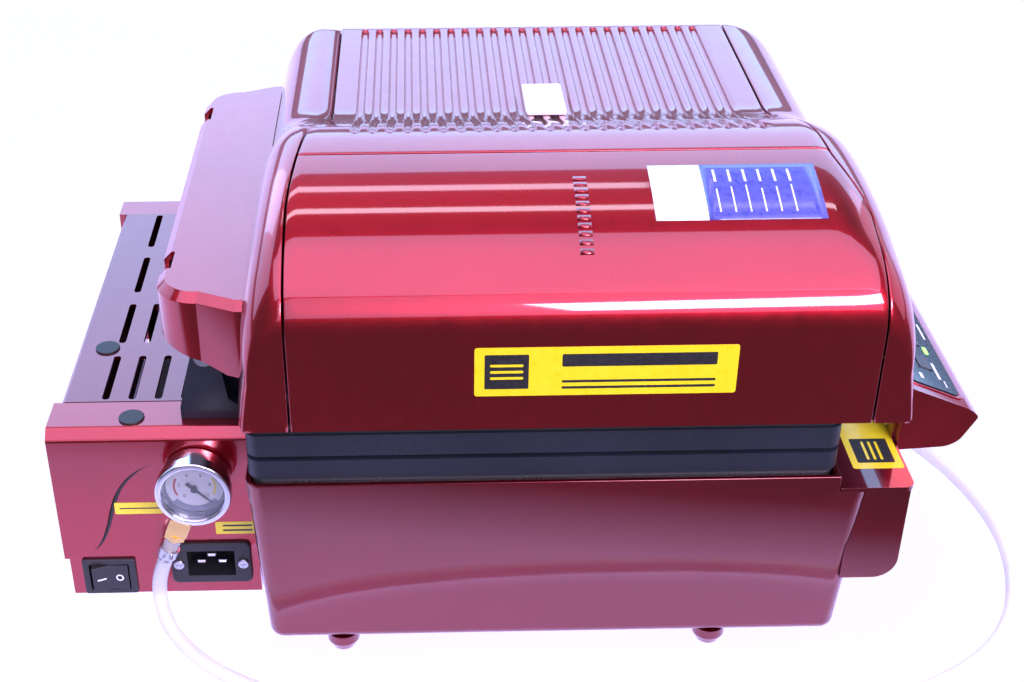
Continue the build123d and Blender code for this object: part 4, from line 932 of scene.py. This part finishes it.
# ---------------------------------------------------------------- rocker marks
ROCKER_PLACE = (-152.5, 249.0, 31.5)
ROCKER_TILT = 9.0
rocker_axis = Matrix.Translation(Vector(ROCKER_PLACE) * MM)
rocker_turn = rocker_axis @ Matrix.Rotation(radians(ROCKER_TILT), 4, "Z")


def on_rocker(side):
    """A place on one half of the rocker's V front."""
    slope = (11.0, -2.4)
    right = Vector((-slope[1] * side, -slope[0], 0))
    return rocker_turn @ at(-4.85, 5.5 * side, 0, right, (0, 0, 1))


plate("rocker_bar", (5.6, 1.1), 0.3, 0.06, on_rocker(1), white_film, "switch_rocker_body",
      "black_plastic")
ring = bmesh.new()
bmesh.ops.create_circle(ring, cap_ends=True, segments=32, radius=2.5 * MM)
bmesh.ops.inset_individual(ring, faces=ring.faces[:], thickness=1.0 * MM)
middle = max(ring.faces, key=lambda face: len(face.verts))
bmesh.ops.delete(ring, geom=[middle], context="FACES")
bmesh.ops.transform(ring, matrix=on_rocker(-1) @ Matrix.Translation((0, 0, 0.00005)), verts=ring.verts)
piece = finish_piece(from_bmesh("rocker_ring", ring), white_film, "switch_rocker_body", "black_plastic")
with_wall(piece, 0.04)

# ---------------------------------------------------------------- membrane
SAG = 5.0
SHEET_HALF = (0.194, 0.163)     # 19 mm on each side is clamped between the two frames
SHEET_Z = 151.8
sag = bmesh.new()
bmesh.ops.create_grid(sag, x_segments=60, y_segments=50, size=0.5)
for vert in sag.verts:
    across, along = vert.co.x * 2, vert.co.y * 2
    low = SAG * (1 - across ** 2) * (1 - along ** 2) * (1 + 0.06 * sin(9 * across) * cos(7 * along))
    inner = max(0.0, 1 - max(abs(across) - 0.86, abs(along) - 0.84, 0.0) / 0.04)
    z = (SHEET_Z - low * smooth_step(inner)) * MM
    vert.co = (across * SHEET_HALF[0], along * SHEET_HALF[1] + DEPTH_SHIFT * MM, z)
membrane = from_bmesh("membrane_sheet", sag)
finish_piece(membrane, silicone_sheet, "membrane_frame", "silicone_sheet", ["membrane"])
thickness = membrane.modifiers.new("thickness", "SOLIDIFY")
thickness.thickness = 0.002
thickness.offset = 0.0


# ---------------------------------------------------------------- carried nodes
def cap_top(start, end):
    """The long edges along the top of an end cap."""
    return abs(start.y - end.y) > 100 and start.z > 130


def console_nose(start, end):
    """The long edges round the console's nose, below its overlay."""
    return abs(start.x - end.x) > 250 and start.y < -258 and start.z < 152


eased("tub", "tub_shell", 0.8, "base", "wine_steel", wine)
eased("ledge_plate", "ledge_shelf", 0.5, "base", "wine_steel", wine)
eased("front_block", "front_box", 0.7, "base", "wine_steel", wine)
eased("vent_cover", "rear_cover", 0.5, "base", "wine_steel", wine)
for side in ("left", "right"):
    eased(f"{side}_end_cap", f"{side}_cap_shell", 0.8, "base", "wine_moulding", lacquer,
          wide=(2.3, cap_top))
eased("console_housing", "console_shell", 0.8, "base", "wine_moulding", lacquer,
      wide=(3.2, console_nose))
eased("fairing", "hinge_fairing", 1.5, "hood", "wine_moulding", lacquer, 3)
eased("lower_band", "lower_frame", 0.5, "membrane_frame", "black_steel", black_steel)
eased("upper_band", "upper_frame", 0.5, "membrane_frame", "black_steel", black_steel)
eased("switch_bezel", "switch_surround", 0.3, "base", "black_plastic", black_plastic)
eased("inlet_housing", "inlet_shell", 0.3, "base", "black_plastic", black_plastic)
eased("console_overlay", "console_panel", 0.15, "base", "black_gloss", black_gloss)
eased("hinge_brackets", "hinge_clevises", 0.4, "base", "black_steel", black_steel)
eased("gauge_bezel", "gauge_ring", 0.25, "base", "nickel", nickel)
finishes = {
    "wine_steel": wine, "wine_moulding": lacquer, "black_steel": black_steel,
    "black_plastic": black_plastic, "black_gloss": black_gloss, "rubber_black": rubber,
    "silicone_sheet": silicone_sheet, "silicone_hose": cuff_silicone, "brass": brass, "nickel": nickel,
    "zinc_steel": zinc, "aluminium": aluminium, "gauge_white": dial_white, "clear_pane": pane,
    "smoked_pane": smoked, "quartz": quartz, "ceramic": ceramic, "board_green": green_board,
    "pump_grey": pump_grey, "yellow_film": yellow, "white_plate": white_film, "key_grey": key_grey,
}
for part in frame["record"]["subparts"]:
    if part["node"] in nodes and not nodes[part["node"]].hide_render:
        dress(part["node"], finishes[part["material_slot"]])


# ---------------------------------------------------------------- table and light
TABLE_DARK, TABLE_LIT = -0.345, -0.285      # where what the table throws back begins and is full
ground = bmesh.new()
bmesh.ops.create_grid(ground, x_segments=1, y_segments=1, size=45.0)
table = from_bmesh("table", ground)
cloth = Finish("table_white", Roughness=0.8, Emission_Strength=1.0)
pale = cloth.noise(3.0)
bright = cloth.spread(cloth.axis(0) + cloth.axis(1) * 0.12, TABLE_DARK, TABLE_LIT, 0.0, 1.0)
cloth.put(Base_Color=cloth.blend(pale, tone(0.84, 0.85, 0.9), tone(0.88, 0.89, 0.93)))
reflected = cloth.blend(bright, tone(0.0, 0.0, 0.0), tone(1.0, 0.96, 1.9))
seen = cloth.node("ShaderNodeLightPath", {}, {})
cloth.put(Emission_Color=cloth.blend(seen, reflected, tone(0.87, 0.88, 0.93)))
table.data.materials.append(cloth.material)

sky = bpy.data.worlds.new("studio")
sky.use_nodes = True
sky.node_tree.nodes["Background"].inputs["Color"].default_value = tone(0.84, 0.82, 1.0)
sky.node_tree.nodes["Background"].inputs["Strength"].default_value = 0.17
bpy.context.scene.world = sky


spared = bpy.data.collections.new("table_spared")
spared.objects.link(table)
spared.collection_objects[0].light_linking.link_state = "EXCLUDE"


def soft_box(name, place, target, size, glow_strength, colour=(1, 1, 1)):
    """A wide soft panel of an even brightness; the table has its own light."""
    lamp = bpy.data.lights.new(name, "AREA")
    lamp.shape = "RECTANGLE"
    lamp.size, lamp.size_y = size
    lamp.energy = pi * size[0] * size[1] * glow_strength
    lamp.color = colour
    box = bpy.data.objects.new(name, lamp)
    box.location = place
    box.rotation_euler = (Vector(target) - Vector(place)).to_track_quat("-Z", "Y").to_euler()
    box.light_linking.receiver_collection = spared
    bpy.context.scene.collection.objects.link(box)


soft_box("ceiling", (-0.95, 0.0, 2.6), (-0.95, 0, 0.1), (2.6, 5.0), 2.9, (0.72, 0.58, 1.0))
soft_box("strip_high", (1.0, 0.1, 2.5), (0, 0.1, 0.2), (2.4, 0.12), 7.0, (0.9, 0.8, 1.0))
soft_box("strip_low", (1.65, 0.4, 2.5), (0, 0.4, 0.2), (1.8, 0.14), 6.0, (0.9, 0.75, 1.0))
soft_box("camera_side", (-2.6, -0.3, 1.75), (0, 0, 0.2), (4.0, 1.7), 2.0, (0.72, 0.58, 1.0))
soft_box("window", (-1.5, -0.75, 1.1), (-0.1, -0.05, 0.2), (1.3, 0.4), 20.0, (0.9, 0.8, 1.0))
soft_box("backdrop", (2.8, 0.1, 1.7), (0, 0, 0.2), (7.0, 2.0), 3.8, (0.32, 0.57, 1.0))
soft_box("rear_side", (1.4, 2.8, 1.5), (0, 0, 0.2), (3.6, 2.0), 2.6, (0.4, 0.56, 1.0))
soft_box("front_side", (0.6, -3.0, 1.3), (0, 0, 0.2), (3.6, 1.8), 1.3, (0.85, 0.6, 1.0))
bpy.context.scene.view_settings.view_transform = "Standard"
